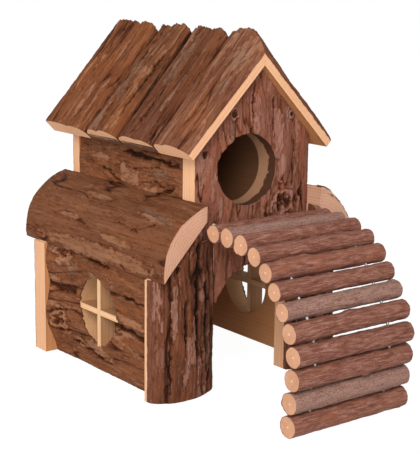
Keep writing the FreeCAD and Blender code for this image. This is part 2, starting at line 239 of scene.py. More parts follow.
def bark_field(style: BarkStyle, seed: int, marks: Sequence[BarkMark], across: np.ndarray,
               along: np.ndarray) -> BarkField:
    """Work out the bark at points on a slab.

    Args:
        style: the kind of bark.
        seed: the number that sets the pattern.
        marks: features placed one by one.
        across: distance of each point along the bark line.
        along: distance of each point along the grain.

    Returns:
        The relief and masks at the points.
    """
    noise = Noise(seed)
    u = across + noise.layered(across / 18.0, along / 48.0, 2) * 3.0
    broad = noise.layered(u / style.furrow_across, along / style.furrow_along, 2)
    lasting = step_up(noise.smooth(across / 13.0 + 11.0, along / 42.0), -0.45, 0.1)
    furrow = (1.0 - step_up(np.abs(broad), 0.0, LINE_EDGE)) * lasting
    narrow = noise.layered(u / (style.furrow_across * 0.3) + 31.0,
                           along / (style.furrow_along * 0.35), 2)
    patchy = step_up(noise.smooth(across / 7.0, along / 19.0 + 9.0), -0.3, 0.4)
    crease = (1.0 - step_up(np.abs(narrow), 0.0, LINE_EDGE)) * patchy
    peel = (noise.layered(u / style.peel_across + 50.0, along / style.peel_along, 4) + 1.2) * 2.0
    layer = np.floor(peel)
    part = peel - layer
    steps = layer + step_up(part, 0.78, 0.97) - 2.2
    lip = step_up(part, 0.66, 0.82) * (1.0 - step_up(part, 0.84, 0.94))
    plate = noise.draw(layer.astype(np.int64), np.floor(broad * 1.5 + 50.0).astype(np.int64))
    fibre = noise.smooth(u / 0.9, along / 16.0) + 0.5 * noise.smooth(u / 0.45, along / 7.0)
    swell = noise.layered(across / 12.0, along / 34.0, 3)
    grit = noise.smooth(across / 1.2, along / 1.7)
    relief = style.swell * swell - style.furrow_depth * furrow - style.crease_depth * crease
    relief = relief + style.peel_step * steps + style.fibre_depth * fibre + 0.1 * grit
    lichen = step_up(noise.layered(across / 8.0 + 70.0, along / 15.0, 4), 0.75, 1.0)
    level = PLAIN_LEVEL - 0.5 * furrow - 0.2 * crease - 0.2 * lip
    level = level + 0.1 * swell + 0.04 * steps + 0.05 * fibre
    ragged = noise.layered(across / 3.5, along / 5.5, 3) * 0.35
    swelling = np.zeros(across.shape)
    for mark in marks:
        ca = across - mark.across - mark.lean * (along - mark.along)
        cl = along - mark.along
        reach = np.hypot(ca / mark.wide, cl / mark.long) + ragged
        inside = 1.0 - step_up(reach, 0.8, 0.98)
        if mark.kind is Mark.KNOT:
            fade = 1.0 - step_up(reach, 0.7, 1.3)
            rings = np.cos(reach * 11.0) * fade
            centre = 1.0 - step_up(reach, 0.12, 0.3)
            relief = relief + (0.4 * rings + 0.6 * fade - 1.4 * centre) * mark.height
            level = level + 0.35 * rings - 0.6 * centre
            plate = np.where((rings > 0.15) & (reach < 1.0), FLAKE_PLATE, plate)
        elif mark.kind is Mark.LICHEN:
            lichen = np.maximum(lichen, inside)
            relief = relief + 0.25 * inside * (1.0 + grit)
        elif mark.kind is Mark.FLAKE:
            rim = step_up(reach, 0.6, 0.85) * (1.0 - step_up(reach, 0.95, 1.15))
            relief = relief + 0.6 * inside * mark.height
            level = np.where(inside > 0.5, np.maximum(level, PLAIN_LEVEL), level) - 0.14 * rim
            plate = np.where(inside > 0.5, FLAKE_PLATE, plate)
        elif mark.kind is Mark.BULGE:
            spread = (ca / mark.wide) ** 2 + (cl / mark.long) ** 2
            swelling = swelling + mark.height * np.exp(-1.4 * spread)
        else:
            wander = ragged * 3.5
            deep = 1.0 - step_up(np.abs(ca + wander) / mark.wide, 0.2, 1.0)
            deep = deep * (1.0 - step_up(np.abs(cl) / mark.long, 0.75, 1.0))
            relief = relief - 1.5 * deep * mark.height
            level = level - (0.3 + 0.3 * mark.height) * deep
    return BarkField(np.clip(relief, DEEPEST, HIGHEST), swelling, np.clip(level, 0.0, 1.0), plate,
                     lichen)


class Quantity:
    """A number or vector in a node tree, on which Python's arithmetic adds Math nodes."""

    def __init__(self, tree: "Tree", socket: Socket) -> None:
        """Keep the tree and the socket that holds the value."""
        self.tree = tree
        self.socket = socket

    def _join(self, operation: str, *values: Any) -> "Quantity":
        """Return a Math node's result on this tree."""
        return self.tree.value("ShaderNodeMath", dict(enumerate(values)), operation=operation)

    def __add__(self, other: Any) -> "Quantity":
        """Return the sum."""
        return self._join("ADD", self, other)

    __radd__ = __add__

    def __sub__(self, other: Any) -> "Quantity":
        """Return the difference."""
        return self._join("SUBTRACT", self, other)

    def __rsub__(self, other: Any) -> "Quantity":
        """Return the difference from a number."""
        return self._join("SUBTRACT", other, self)

    def __mul__(self, other: Any) -> "Quantity":
        """Return the product."""
        return self._join("MULTIPLY", self, other)

    __rmul__ = __mul__

    def __truediv__(self, other: Any) -> "Quantity":
        """Return the quotient."""
        return self._join("DIVIDE", self, other)

    def greatest(self, other: Any) -> "Quantity":
        """Return the larger of the two."""
        return self._join("MAXIMUM", self, other)

    def sine(self) -> "Quantity":
        """Return the sine."""
        return self._join("SINE", self)

    def root(self) -> "Quantity":
        """Return the square root."""
        return self._join("SQRT", self)

    def rise(self, low: float, high: float) -> "Quantity":
        """Return a smooth rise from 0 at low to 1 at high."""
        return self.tree.value("ShaderNodeMapRange",
                               {"Value": self, "From Min": low, "From Max": high},
                               interpolation_type="SMOOTHSTEP")

    def stretched(self, x: float, y: float, z: float) -> "Quantity":
        """Return the vector with each part multiplied."""
        return self.tree.value("ShaderNodeVectorMath", {0: self, 1: (x, y, z)},
                               operation="MULTIPLY")


class Tree:
    """A node tree, with one method that adds any node."""

    def __init__(self, tree: bpy.types.NodeTree) -> None:
        """Keep the tree."""
        self.tree = tree

    def add(self, kind: str, sockets: Optional[dict] = None, **settings: Any) -> Node:
        """Add a node.

        Args:
            kind: the node's type.
            sockets: values or links for its inputs, by name or number. A node stands for its
                first output.
            settings: its own properties, or the stops of a ramp as "stops", set first.

        Returns:
            The node.
        """
        node = self.tree.nodes.new(kind)
        for name, value in settings.items():
            if name == "stops":
                self._set_stops(node, value)
            else:
                setattr(node, name, value)
        for name, value in (sockets or {}).items():
            if isinstance(value, (Quantity, Node)):
                value = value.socket if isinstance(value, Quantity) else value.outputs[0]
            if isinstance(value, Socket):
                self.tree.links.new(value, node.inputs[name])
            else:
                node.inputs[name].default_value = value
        return node

    def value(self, kind: str, sockets: Optional[dict] = None, **settings: Any) -> Quantity:
        """Add a node and return its first output."""
        return Quantity(self, self.add(kind, sockets, **settings).outputs[0])

    @staticmethod
    def _set_stops(node: Node, stops: Stops) -> None:
        """Give a colour ramp its stops."""
        ramp = node.color_ramp
        while len(ramp.elements) < len(stops):
            ramp.elements.new(0.5)
        for element, (place, colour) in zip(ramp.elements, stops):
            element.position = place
            element.color = (*colour, 1.0)

    def read(self, name: str, part: str = "Vector") -> Quantity:
        """Return a mesh attribute."""
        node = self.add("ShaderNodeAttribute", attribute_name=name)
        return Quantity(self, node.outputs[part])

    def parts(self, vector: Quantity) -> tuple[Quantity, Quantity, Quantity]:
        """Return the three numbers of a vector."""
        node = self.add("ShaderNodeSeparateXYZ", {0: vector})
        return tuple(Quantity(self, node.outputs[k]) for k in range(3))

    def noise(self, vector: Quantity, detail: float = 3.0, roughness: float = 0.55,
              distortion: float = 0.0) -> Quantity:
        """Return noise from 0 to 1 on a vector that is already stretched to size."""
        return self.value("ShaderNodeTexNoise", {"Vector": vector, "Scale": 1.0, "Detail": detail,
                                                 "Roughness": roughness, "Distortion": distortion})

    def ramp(self, factor: Quantity, stops: Stops) -> Socket:
        """Return the colour of a ramp."""
        return self.add("ShaderNodeValToRGB", {0: factor}, stops=stops).outputs[0]

    def blend(self, factor: Any, first: Any, second: Any, way: str = "MIX") -> Socket:
        """Return two colours mixed."""
        def full(colour: Any) -> Any:
            """Return a colour with its fourth number."""
            return (*colour, 1.0) if isinstance(colour, tuple) else colour
        return self.add("ShaderNodeMix", {0: factor, 6: full(first), 7: full(second)},
                        data_type="RGBA",
                        blend_type=way).outputs[2]

    def bump(self, height: Quantity, distance: float) -> Socket:
        """Return a normal that follows a height."""
        return self.value("ShaderNodeBump", {"Height": height, "Distance": distance}).socket


def new_material(name: str) -> tuple[Material, Tree]:
    """Return an empty material with nodes, and its tree."""
    material = bpy.data.materials.new(name)
    material.use_nodes = True
    material.node_tree.nodes.clear()
    return material, Tree(material.node_tree)


def close_material(tree: Tree, colour: Any, roughness: Any, normal: Any,
                   **constants: float) -> None:
    """Join a finish's colour, roughness and normal to the surface."""
    sockets = {"Base Color": colour, "Roughness": roughness, "Normal": normal}
    sockets.update({name.replace("_", " "): value for name, value in constants.items()})
    tree.add("ShaderNodeOutputMaterial", {"Surface": tree.add("ShaderNodeBsdfPrincipled", sockets)})


@dataclass(frozen=True)
class BarkFinish:
    """Thick bark on a log slab."""

    name: str
    deep: Colour = linear(40, 18, 8)
    dark: Colour = linear(86, 45, 24)
    body: Colour = linear(124, 74, 47)
    light: Colour = linear(150, 99, 68)
    pale: Colour = linear(172, 130, 102)
    grey: Colour = linear(152, 120, 98)
    ochre: Colour = linear(146, 84, 44)
    lift: float = 0.0
    streaks: float = 0.45
    warmth: float = 0.35
    # How much light is left in the painted shade of the bark's crevices
    crevice_shade: float = 0.42
    fibre_bump: float = 0.0004

    def build(self) -> Material:
        """Return the material. It reads the slab's grain and bark attributes."""
        material, tree = new_material(self.name)
        grain = tree.read("grain")
        level, plate, lichen = tree.parts(tree.read("bark"))
        fibre = tree.noise(grain.stretched(900.0, 900.0, 24.0), 5.0, 0.62, 0.5)
        streak = tree.noise(grain.stretched(1500.0, 1500.0, 36.0), 3.0, 0.5, 0.8)
        fine = tree.noise(grain.stretched(2600.0, 2600.0, 700.0), 3.0, 0.6)
        blotch = tree.noise(grain.stretched(90.0, 90.0, 26.0), 3.0, 0.6, 0.6)
        scale = tree.noise(grain.stretched(420.0, 420.0, 110.0), 4.0, 0.62, 1.2)
        tone = level * 0.5 + (fibre - 0.5) * 0.6 + (fine - 0.5) * 0.25
        tone = tone + (scale - 0.5) * 0.35 + (plate - 0.5) * 0.12 + (0.1 + self.lift)
        base = tree.ramp(tone,
                         [(0.0, self.deep), (0.2, self.dark), (0.42, self.body), (0.7, self.light)])
        base = tree.blend((blotch - 0.45).rise(0.0, 0.2) * self.warmth, base, self.ochre)
        base = tree.blend(streak.rise(0.58, 0.72) * self.streaks, base, self.pale)
        base = tree.blend((1.0 - streak.rise(0.3, 0.4)) * self.streaks, base, self.dark)
        flake = plate.rise(0.9, 0.95) * (scale - 0.34).rise(0.0, 0.2) * level.rise(0.3, 0.6)
        base = tree.blend(flake * 0.4, base, self.pale)
        patch = (lichen * 0.6 + scale * 0.8 + fine * 0.6 - 1.05).rise(0.0, 0.4)
        patch = patch * lichen.rise(0.0, 0.6)
        crust = tree.blend((tone - 0.2).rise(0.0, 0.45), dimmed(self.grey, 0.45), self.grey)
        base = tree.blend(patch * 0.6, base, crust)
        # Painted shade: the colour darkens in the bark's furrows, cracks and low places, where
        # shade falls.
        dim = self.crevice_shade
        shadow = tree.ramp(level, [(0.0, (dim, dim * 0.82, dim * 0.7)), (0.4, (1.0, 1.0, 1.0))])
        shade = tree.blend(1.0, base, shadow, "MULTIPLY")
        height = fibre * 0.6 + fine * 0.25 + scale * 0.5
        close_material(tree, shade, 0.86 - fine * 0.12, tree.bump(height, self.fibre_bump),
                       Specular_IOR_Level=0.12)
        return material


@dataclass(frozen=True)
class SawnFinish:
    """Sawn wood: rings on an end, streaks on a long face, and a dark rim under the bark."""

    name: str
    pale: Colour = linear(231, 178, 137)
    late: Colour = linear(210, 150, 108)
    rim: Colour = linear(112, 68, 46)
    cambium: Colour = linear(196, 138, 98)
    ring_width: float = 0.0016
    rim_depth: float = 0.35
    rim_rough: float = 0.3
    contrast: float = 0.3
    heart_across: float = 0.0
    heart_deep: float = -0.03

    def build(self) -> Material:
        """Return the material. It reads the slab's grain and depth attributes."""
        material, tree = new_material(self.name)
        grain = tree.read("grain")
        depth = tree.read("depth", "Fac")
        wander = tree.noise(grain.stretched(110.0, 110.0, 14.0), 2.0, 0.5)
        across, deep, _ = tree.parts(grain)
        a = across - self.heart_across + (wander - 0.5) * 0.004
        b = deep - self.heart_deep
        ring = ((a * a + b * b).root() * (2.0 * math.pi / self.ring_width)).sine() * 0.5 + 0.5
        streak = tree.noise(grain.stretched(900.0, 900.0, 18.0), 4.0, 0.6)
        speck = tree.noise(grain.stretched(3500.0, 3500.0, 900.0), 2.0, 0.6)
        cloud = tree.noise(grain.stretched(60.0, 60.0, 20.0), 2.0, 0.5)
        tone = ring.rise(0.35, 1.0) * self.contrast + (streak - 0.45) * 0.9
        tone = tone + (cloud - 0.5) * 0.8 + (speck - 0.5) * 0.35
        wood = tree.ramp(tone, [(0.0, self.pale), (1.0, self.late)])
        rough = tree.noise(grain.stretched(420.0, 420.0, 420.0), 3.0, 0.6)
        broad = tree.noise(grain.stretched(120.0, 120.0, 120.0), 2.0, 0.5)
        edge = depth - (rough - 0.5) * self.rim_rough * 1.6 - (broad - 0.5) * self.rim_rough * 3.0
        rim = 1.0 - edge.rise(self.rim_depth - 0.15, self.rim_depth + 0.15)
        cambium = 1.0 - edge.rise(self.rim_depth, self.rim_depth + 0.55)
        wood = tree.blend(cambium * 0.6, wood, self.cambium)
        bark = tree.blend(rough, self.rim, dimmed(self.rim, 0.45))
        wood = tree.blend(rim, wood, bark)
        height = streak * 0.5 + speck * 0.3 + rim * -0.6
        close_material(tree, wood, 0.68 + (streak - 0.5) * 0.2, tree.bump(height, 0.00018),
                       Specular_IOR_Level=0.25)
        return material


@dataclass(frozen=True)
class StickBarkFinish:
    """Thin bark on the ladder's sticks."""

    name: str
    deep: Colour = linear(64, 34, 22)
    body: Colour = linear(120, 72, 57)
    light: Colour = linear(174, 129, 112)
    grey: Colour = linear(162, 134, 122)
    ochre: Colour = linear(150, 92, 64)

    def build(self) -> Material:
        """Return the material. It reads the stick's grain and finish attributes."""
        material, tree = new_material(self.name)
        grain = tree.read("grain")
        grey_share, ochre_share, _ = tree.parts(tree.read("finish"))
        fibre = tree.noise(grain.stretched(150.0, 1500.0, 1500.0), 4.0, 0.6, 0.3)
        fine = tree.noise(grain.stretched(900.0, 2600.0, 2600.0), 3.0, 0.6)
        blotch = tree.noise(grain.stretched(60.0, 190.0, 190.0), 3.0, 0.6)
        scuff = tree.noise(grain.stretched(130.0, 620.0, 620.0), 5.0, 0.68, 0.4)
        tone = fibre * 0.45 + fine * 0.2 + scuff * 0.35
        base = tree.ramp(tone, [(0.31, self.deep), (0.47, self.body), (0.66, self.light)])
        base = tree.blend((blotch + ochre_share - 1.0).rise(-0.06, 0.12) * 0.4, base, self.ochre)
        patch = (scuff * 0.5 + blotch * 0.3 + fibre * 0.2 + grey_share - 1.0).rise(-0.05, 0.1)
        base = tree.blend(patch * fine.rise(0.3, 0.6) * 0.65, base, self.grey)
        height = fibre * 0.5 + scuff * 0.5 + fine * 0.2
        close_material(tree, base, 0.72 + fine * 0.12, tree.bump(height, 0.0003),
                       Specular_IOR_Level=0.2)
        return material


@dataclass(frozen=True)
class StickEndFinish:
    """The sawn end of a stick: pith, faint rings and a thin dark rim."""

    name: str
    pale: Colour = linear(206, 153, 118)
    late: Colour = linear(166, 114, 84)
    pith: Colour = linear(238, 202, 166)
    rim: Colour = linear(110, 68, 50)

    def build(self) -> Material:
        """Return the material. It reads the stick's grain and finish attributes."""
        material, tree = new_material(self.name)
        grain = tree.read("grain")
        _, _, radius = tree.parts(tree.read("finish"))
        _, y, z = tree.parts(grain)
        rough = tree.noise(grain.stretched(10.0, 500.0, 500.0), 3.0, 0.6)
        reach = (y * y + z * z).root()
        share = reach / radius + (rough - 0.5) * 0.1
        ring = (reach * 6200.0 + rough * 3.0).sine() * 0.5 + 0.5
        cloud = tree.noise(grain.stretched(8.0, 90.0, 90.0), 2.0, 0.6)
        tone = ring.rise(0.4, 1.0) * 0.2 + (rough - 0.5) * 0.6 + (cloud - 0.42) * 1.2
        wood = tree.blend(tone, self.pale, self.late)
        wood = tree.blend((1.0 - share.rise(0.03, 0.16)) * 0.8, wood, self.pith)
        wood = tree.blend(share.rise(0.9, 0.98), wood, self.rim)
        close_material(tree, wood, 0.7, tree.bump(rough + ring * 0.3, 0.0001))
        return material


@dataclass(frozen=True)
class WireFinish:
    """Galvanised wire."""

    name: str
    metal: Colour = linear(172, 172, 168)

    def build(self) -> Material:
        """Return the material."""
        material, tree = new_material(self.name)
        place = Quantity(tree, tree.add("ShaderNodeTexCoord").outputs["Object"])
        spangle = tree.noise(place.stretched(900.0, 900.0, 900.0), 3.0, 0.6)
        colour = tree.blend(spangle, self.metal, dimmed(self.metal, 0.6))
        close_material(tree, colour, 0.32 + spangle * 0.2, tree.bump(spangle, 0.00004),
                       Metallic=1.0)
        return material


def arc_points(first: Point2, middle: Point2, last: Point2, spacing: float) -> list[Point2]:
    """Return points along the arc through three points, without the last one.

    Args:
        first: where the arc starts.
        middle: a point on it.
        last: where it ends.
        spacing: the distance between points.

    Returns:
        The points, about evenly spaced.
    """
    (ax, ay), (bx, by), (cx, cy) = first, middle, last
    d = 2.0 * (ax * (by - cy) + bx * (cy - ay) + cx * (ay - by))
    if abs(d) < 1e-6:
        count = max(2, round(math.dist(first, last) / spacing))
        return [(ax + (cx - ax) * k / count, ay + (cy - ay) * k / count) for k in range(count)]
    sa, sb, sc = ax * ax + ay * ay, bx * bx + by * by, cx * cx + cy * cy
    ox = (sa * (by - cy) + sb * (cy - ay) + sc * (ay - by)) / d
    oy = (sa * (cx - bx) + sb * (ax - cx) + sc * (bx - ax)) / d
    radius = math.hypot(ax - ox, ay - oy)
    start = math.atan2(ay - oy, ax - ox)
    full = 2.0 * math.pi
    turn_middle = (math.atan2(by - oy, bx - ox) - start) % full
    turn = (math.atan2(cy - oy, cx - ox) - start) % full
    if turn_middle > turn:
        turn -= full
    count = max(2, round(abs(turn) * radius / spacing))
    steps = [start + turn * k / count for k in range(count)]
    return [(ox + radius * math.cos(s), oy + radius * math.sin(s)) for s in steps]


@dataclass
class Section:
    """The cross-section of a log slab: a bark line of arcs and straight sawn edges.

    Args:
        bark: points of the bark line, an arc for each point and its next two.
        sawn: the sawn corners, on from the bark line's last point.
    """

    bark: list[Point2]
    sawn: list[Point2]

    def bark_line(self, spacing: float) -> tuple[np.ndarray, np.ndarray, np.ndarray]:
        """Return the bark line's points, outward directions and distances along it."""
        points: list[Point2] = []
        for k in range(0, len(self.bark) - 2, 2):
            points += arc_points(self.bark[k], self.bark[k + 1], self.bark[k + 2], spacing)
        points.append(self.bark[-1])
        line = np.array(points)
        run = np.gradient(line, axis=0)
        run /= np.linalg.norm(run, axis=1)[:, None]
        out = np.stack([run[:, 1], -run[:, 0]], axis=1)
        middle = line.mean(axis=0)
        inner = np.array(self.sawn).mean(axis=0)
        if np.dot(out.mean(axis=0), middle - inner) < 0.0:
            out = -out
        gone = np.concatenate([[0.0], np.cumsum(np.linalg.norm(np.diff(line, axis=0), axis=1))])
        return line, out, gone


@dataclass
class Lay:
    """How a slab's own directions lie in the house.

    Args:
        origin: where its section's zero and its grain's zero meet.
        across: direction of the section's first number.
        up: direction of the section's second number.
        grain: direction of the grain.
        flip: True to mirror the result to the other side.
    """

    origin: Point3
    across: Point3
    up: Point3
    grain: Point3
    flip: bool = False

    def place(self, local: np.ndarray) -> np.ndarray:
        """Return house points in metres of local ones: across, up and along the grain."""
        axes = np.array([self.across, self.up, self.grain])
        points = np.array(self.origin) + local @ axes
        if self.flip:
            points[:, 0] *= -1.0
        points[:, 1] += SHIFT_Y
        return points * MM

    def local(self, points: np.ndarray) -> np.ndarray:
        """Return the local numbers of placed points."""
        house = points / MM
        house[:, 1] -= SHIFT_Y
        if self.flip:
            house[:, 0] *= -1.0
        axes = np.array([self.across, self.up, self.grain])
        return (house - np.array(self.origin)) @ axes.T

    def on(self, side: Side) -> "Lay":
        """Return the same lay on one side of the house."""
        return replace(self, flip=side is Side.RIGHT)


UPRIGHT = Lay((0.0, 0.0, 0.0), ACROSS, DEPTH, UP)
LENGTHWISE = Lay((0.0, 0.0, 0.0), ACROSS, UP, DEPTH)


def new_piece(name: str, mesh: Mesh) -> Piece:
    """Return a mesh as a new object in the scene."""
    piece = bpy.data.objects.new(name, mesh)
    bpy.context.scene.collection.objects.link(piece)
    return piece


def solid_block(name: str, outline: Sequence[Point3], run: Point3, material: Material) -> Piece:
    """Return a straight block on an outline, in house millimetres.

    Args:
        name: the block's name.
        outline: corners of its first face.
        run: from its first face to its last.
        material: what its faces show.

    Returns:
        The block, placed.
    """
    corners = np.array(outline, float)
    count = len(corners)
    points = np.concatenate([corners, corners + np.array(run)])
    points[:, 1] += SHIFT_Y
    faces: list[Sequence[int]] = [tuple(range(count)), tuple(range(2 * count - 1, count - 1, -1))]
    faces += [(k, k + count, (k + 1) % count + count, (k + 1) % count) for k in range(count)]
    mesh = bpy.data.meshes.new(name)
    mesh.from_pydata([tuple(p) for p in points * MM], [], faces)
    outward(mesh)
    mesh.materials.append(material)
    return new_piece(name, mesh)


def prism(outline: Sequence[Point2], start: float, depth: float, material: Material,
          side: Side = Side.LEFT) -> Piece:
    """Return a block that runs along the depth, drawn in X and Z for the left side."""
    corners = [(-side.value * x, start, z) for x, z in outline]
    return solid_block("trim", corners, (0.0, depth, 0.0), material)


def outward(mesh: Mesh) -> None:
    """Turn every face of a closed mesh outwards."""
    work = bmesh.new()
    work.from_mesh(mesh)
    bmesh.ops.recalc_face_normals(work, faces=work.faces)
    work.to_mesh(mesh)
    work.free()


def round_cutter(name: str, centre: Point3, axis: Point3, radius: float, half: float,
                 material: Material, seed: int) -> Piece:
    """Return a slightly uneven round cutter for a hole.

    Args:
        name: the cutter's name.
        centre: its middle in house millimetres.
        axis: its direction, along X or Y.
        radius: the hole's radius.
        half: half its length.
        material: what the hole's wall shows.
        seed: the number that sets its unevenness.

    Returns:
        The cutter.
    """
    noise = Noise(seed)
    turns = np.linspace(0.0, 2.0 * np.pi, HOLE_SIDES, endpoint=False)
    uneven = radius * (1.0 + 0.006 * noise.smooth(np.cos(turns) * 2.0, np.sin(turns) * 2.0))
    along = np.array(axis)
    side = DEPTH if axis[0] else ACROSS
    ring = np.outer(uneven * np.cos(turns), side) + np.outer(uneven * np.sin(turns), UP)
    start = np.array(centre) - along * half + ring
    return solid_block(name, [tuple(p) for p in start], tuple(along * half * 2.0), material)


def carve(piece: Piece, cutter: Piece, keep_inside: bool = False) -> None:
    """Cut a piece with a cutter, which is used up.

    Args:
        piece: the piece, whose mesh is replaced.
        cutter: a closed shape.
        keep_inside: True to keep what is inside the cutter, not outside.
    """
    modifier = piece.modifiers.new("cut", "BOOLEAN")
    modifier.operation = "INTERSECT" if keep_inside else "DIFFERENCE"
    modifier.solver = "MANIFOLD"
    modifier.material_mode = "TRANSFER"
    modifier.object = cutter
    graph = bpy.context.evaluated_depsgraph_get()
    mesh = bpy.data.meshes.new_from_object(piece.evaluated_get(graph),
                                           preserve_all_data_layers=True, depsgraph=graph)
    piece.modifiers.remove(modifier)
    if len(mesh.polygons) < 4:
        raise ValueError(piece.name + " was cut away")
    old = piece.data
    piece.data = mesh
    bpy.data.meshes.remove(old)
    drop(cutter)


def drop(piece: Piece) -> None:
    """Remove a helper object and its mesh."""
    mesh = piece.data
    bpy.data.objects.remove(piece)
    bpy.data.meshes.remove(mesh)


def settle(piece: Piece, nodes: Sequence[str], body: str, slot: str) -> None:
    """Let a finished piece stand for its CAD nodes and ride on its body."""
    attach(piece, body)
    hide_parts(*nodes)
    LOG.info("%s: %d faces on %s", piece.name, len(piece.data.polygons), body)


@dataclass
class LogSlab:
    """A slab sawn from a log, with bark on its outer face.

    Args:
        name: the piece's name, and its CAD node's.
        section: its cross-section.
        lay: how it lies.
        start: where it begins along the grain.
        stop: where it ends.
        style: its bark.
        seed: the number that sets its pattern.
        bark: the bark's material.
        sawn: the sawn wood's material.
        marks: features placed one by one.
        spacing: the size of the mesh's faces.
        slot: the name of a material slot, which is passed on but not used.
        inner: the material of its flat inner face, if it isn't like the sawn edges.
        crest: the bark line where it stops, for a slab that thickens along the grain.
        cutters: shapes that are cut out of it.
        insides: shapes that it is trimmed to.
    """

    name: str
    section: Section
    lay: Lay
    start: float
    stop: float
    style: BarkStyle
    seed: int
    bark: Material
    sawn: Material
    marks: Sequence[BarkMark] = ()
    spacing: float = 0.6
    slot: str = "wall_slab_wood"
    inner: Optional[Material] = None
    crest: Optional[Section] = None
    cutters: list = field(default_factory=list)
    insides: list = field(default_factory=list)

    def build(self) -> Piece:
        """Return the finished slab."""
        piece = new_piece(self.name + "_log", self._mesh())
        for cutter in self.insides:
            carve(piece, cutter, True)
        for cutter in self.cutters:
            carve(piece, cutter)
        self._dress(piece.data)
        settle(piece, [self.name], "house", self.slot)
        return piece

    def _thickening(self, line: np.ndarray, across: np.ndarray) -> np.ndarray:
        """Return how much higher the bark is where the slab stops than where it starts."""
        if self.crest is None:
            return np.zeros(across.shape)
        top = self.crest.bark_line(self.spacing)[0]
        return np.interp(across, top[:, 0], top[:, 1]) - np.interp(across, line[:, 0], line[:, 1])

    def _feet(self, count: int) -> np.ndarray:
        """Return points spread along the sawn edges, from the bark line's start to its end."""
        route = np.array([self.section.bark[0], *reversed(self.section.sawn),
                          self.section.bark[-1]])
        gone = np.concatenate([[0.0], np.cumsum(np.linalg.norm(np.diff(route, axis=0), axis=1))])
        spots = np.linspace(0.0, gone[-1], count)
        return np.stack([np.interp(spots, gone, route[:, 0]), np.interp(spots, gone, route[:, 1])],
                        axis=1)

    def _mesh(self) -> Mesh:
        """Return the uncut slab: rings of points along the grain, and rows of faces on each end."""
        line, out, gone = self.section.bark_line(self.spacing)
        rows = max(2, round((self.stop - self.start) / self.spacing)) + 1
        spots = np.linspace(self.start, self.stop, rows)
        across, along = np.meshgrid(gone, spots)
        found = bark_field(self.style, self.seed, self.marks, across, along)
        relief = self._worn(found.relief, across, along, gone[-1]) + found.swelling
        bark = line[None, :, :] + out[None, :, :] * relief[:, :, None]
        share = (spots - self.start) / (self.stop - self.start)
        bark[:, :, 1] += self._thickening(line, line[:, 0])[None, :] * share[:, None]
        corners = np.broadcast_to(np.array(self.section.sawn), (rows, len(self.section.sawn), 2))
        ring = np.concatenate([bark, corners], axis=1)
        size = ring.shape[1]
        count = len(gone)
        local = np.concatenate([ring, np.broadcast_to(spots[:, None, None], ring.shape[:2] + (1,))],
                               axis=2)
        points = [local.reshape(-1, 3)]
        flanks = self._flanks(count, size)
        if self.inner and size - count == 2:
            flanks[count] = INNER_FACE
        faces: list[Sequence[int]] = []
        sides: list[int] = []
        for row in range(rows - 1):
            for k in range(size):
                after = (k + 1) % size
                low = row * size
                faces.append((low + k, low + after, low + size + after, low + size + k))
                sides.append(BARK_FACE if k < count - 1 else flanks.get(k, SAWN_FACE))
        feet = self._feet(count)
        total = rows * size
        for row in (0, rows - 1):
            base = row * size
            outer = list(range(base, base + count))
            for inset in END_ROWS:
                between = bark[row] + (feet - bark[row]) * inset
                spot = np.full((count - 2, 1), spots[row])
                points.append(np.concatenate([between[1:-1], spot], axis=1))
                nearer = [base, *range(total, total + count - 2), base + count - 1]
                total += count - 2
                faces.append((outer[0], outer[1], nearer[1]))
                faces += [(outer[k], outer[k + 1], nearer[k + 1], nearer[k])
                          for k in range(1, count - 2)]
                faces.append((outer[-2], outer[-1], nearer[-2]))
                outer = nearer
            faces.append((*outer, *range(base + count, base + size)))
        sides += [SAWN_FACE] * (len(faces) - len(sides))
        mesh = bpy.data.meshes.new(self.name)
        mesh.from_pydata(self.lay.place(np.concatenate(points)).tolist(), [], faces)
        mesh.polygons.foreach_set("material_index", sides)
        outward(mesh)
        for material in (self.bark, self.sawn, self.inner or self.sawn):
            mesh.materials.append(material)
        return mesh

    def _worn(self, relief: np.ndarray, across: np.ndarray, along: np.ndarray,
              width: float) -> np.ndarray:
        """Return the relief, flatter and a little crumbled near the bark's edges."""
        noise = Noise(self.seed + 500)
        from_edge = np.minimum(across, width - across)
        from_end = np.minimum(along - self.start, self.stop - along)
        crumble = 0.5 + 0.5 * noise.layered(across / 2.5, along / 2.5, 2)
        near_edge = np.exp(-from_edge / WEAR_EDGE) + np.exp(-from_end / WEAR_END)
        worn = self.style.edge_wear * crumble * near_edge
        held = 1.0 - 0.7 * np.exp(-from_edge / FLAT_EDGE)
        held = held * (1.0 - 0.75 * np.exp(-from_end / FLAT_END))
        torn = noise.layered(across / 2.6, along / 9.0,
                             3) * np.exp((along - self.stop) / TORN_REACH)
        turned = TURN_DEPTH * self._turning(across, width)
        return relief * held - worn + self.style.ragged_top * torn - turned

    def _turning(self, across: np.ndarray, width: float) -> np.ndarray:
        """Return how much the bark turns in towards its neighbours at the slab's two edges."""
        first = self.style.first_edge * np.exp(-across / TURN_REACH)
        return first + self.style.last_edge * np.exp((across - width) / TURN_REACH)

    def _flanks(self, count: int, size: int) -> dict[int, int]:
        """Return the material of the two side faces: bark with painted shade where two slabs meet.
        """
        return {count - 1: BARK_FACE if self.style.last_edge else SAWN_FACE,
                size - 1: BARK_FACE if self.style.first_edge else SAWN_FACE}

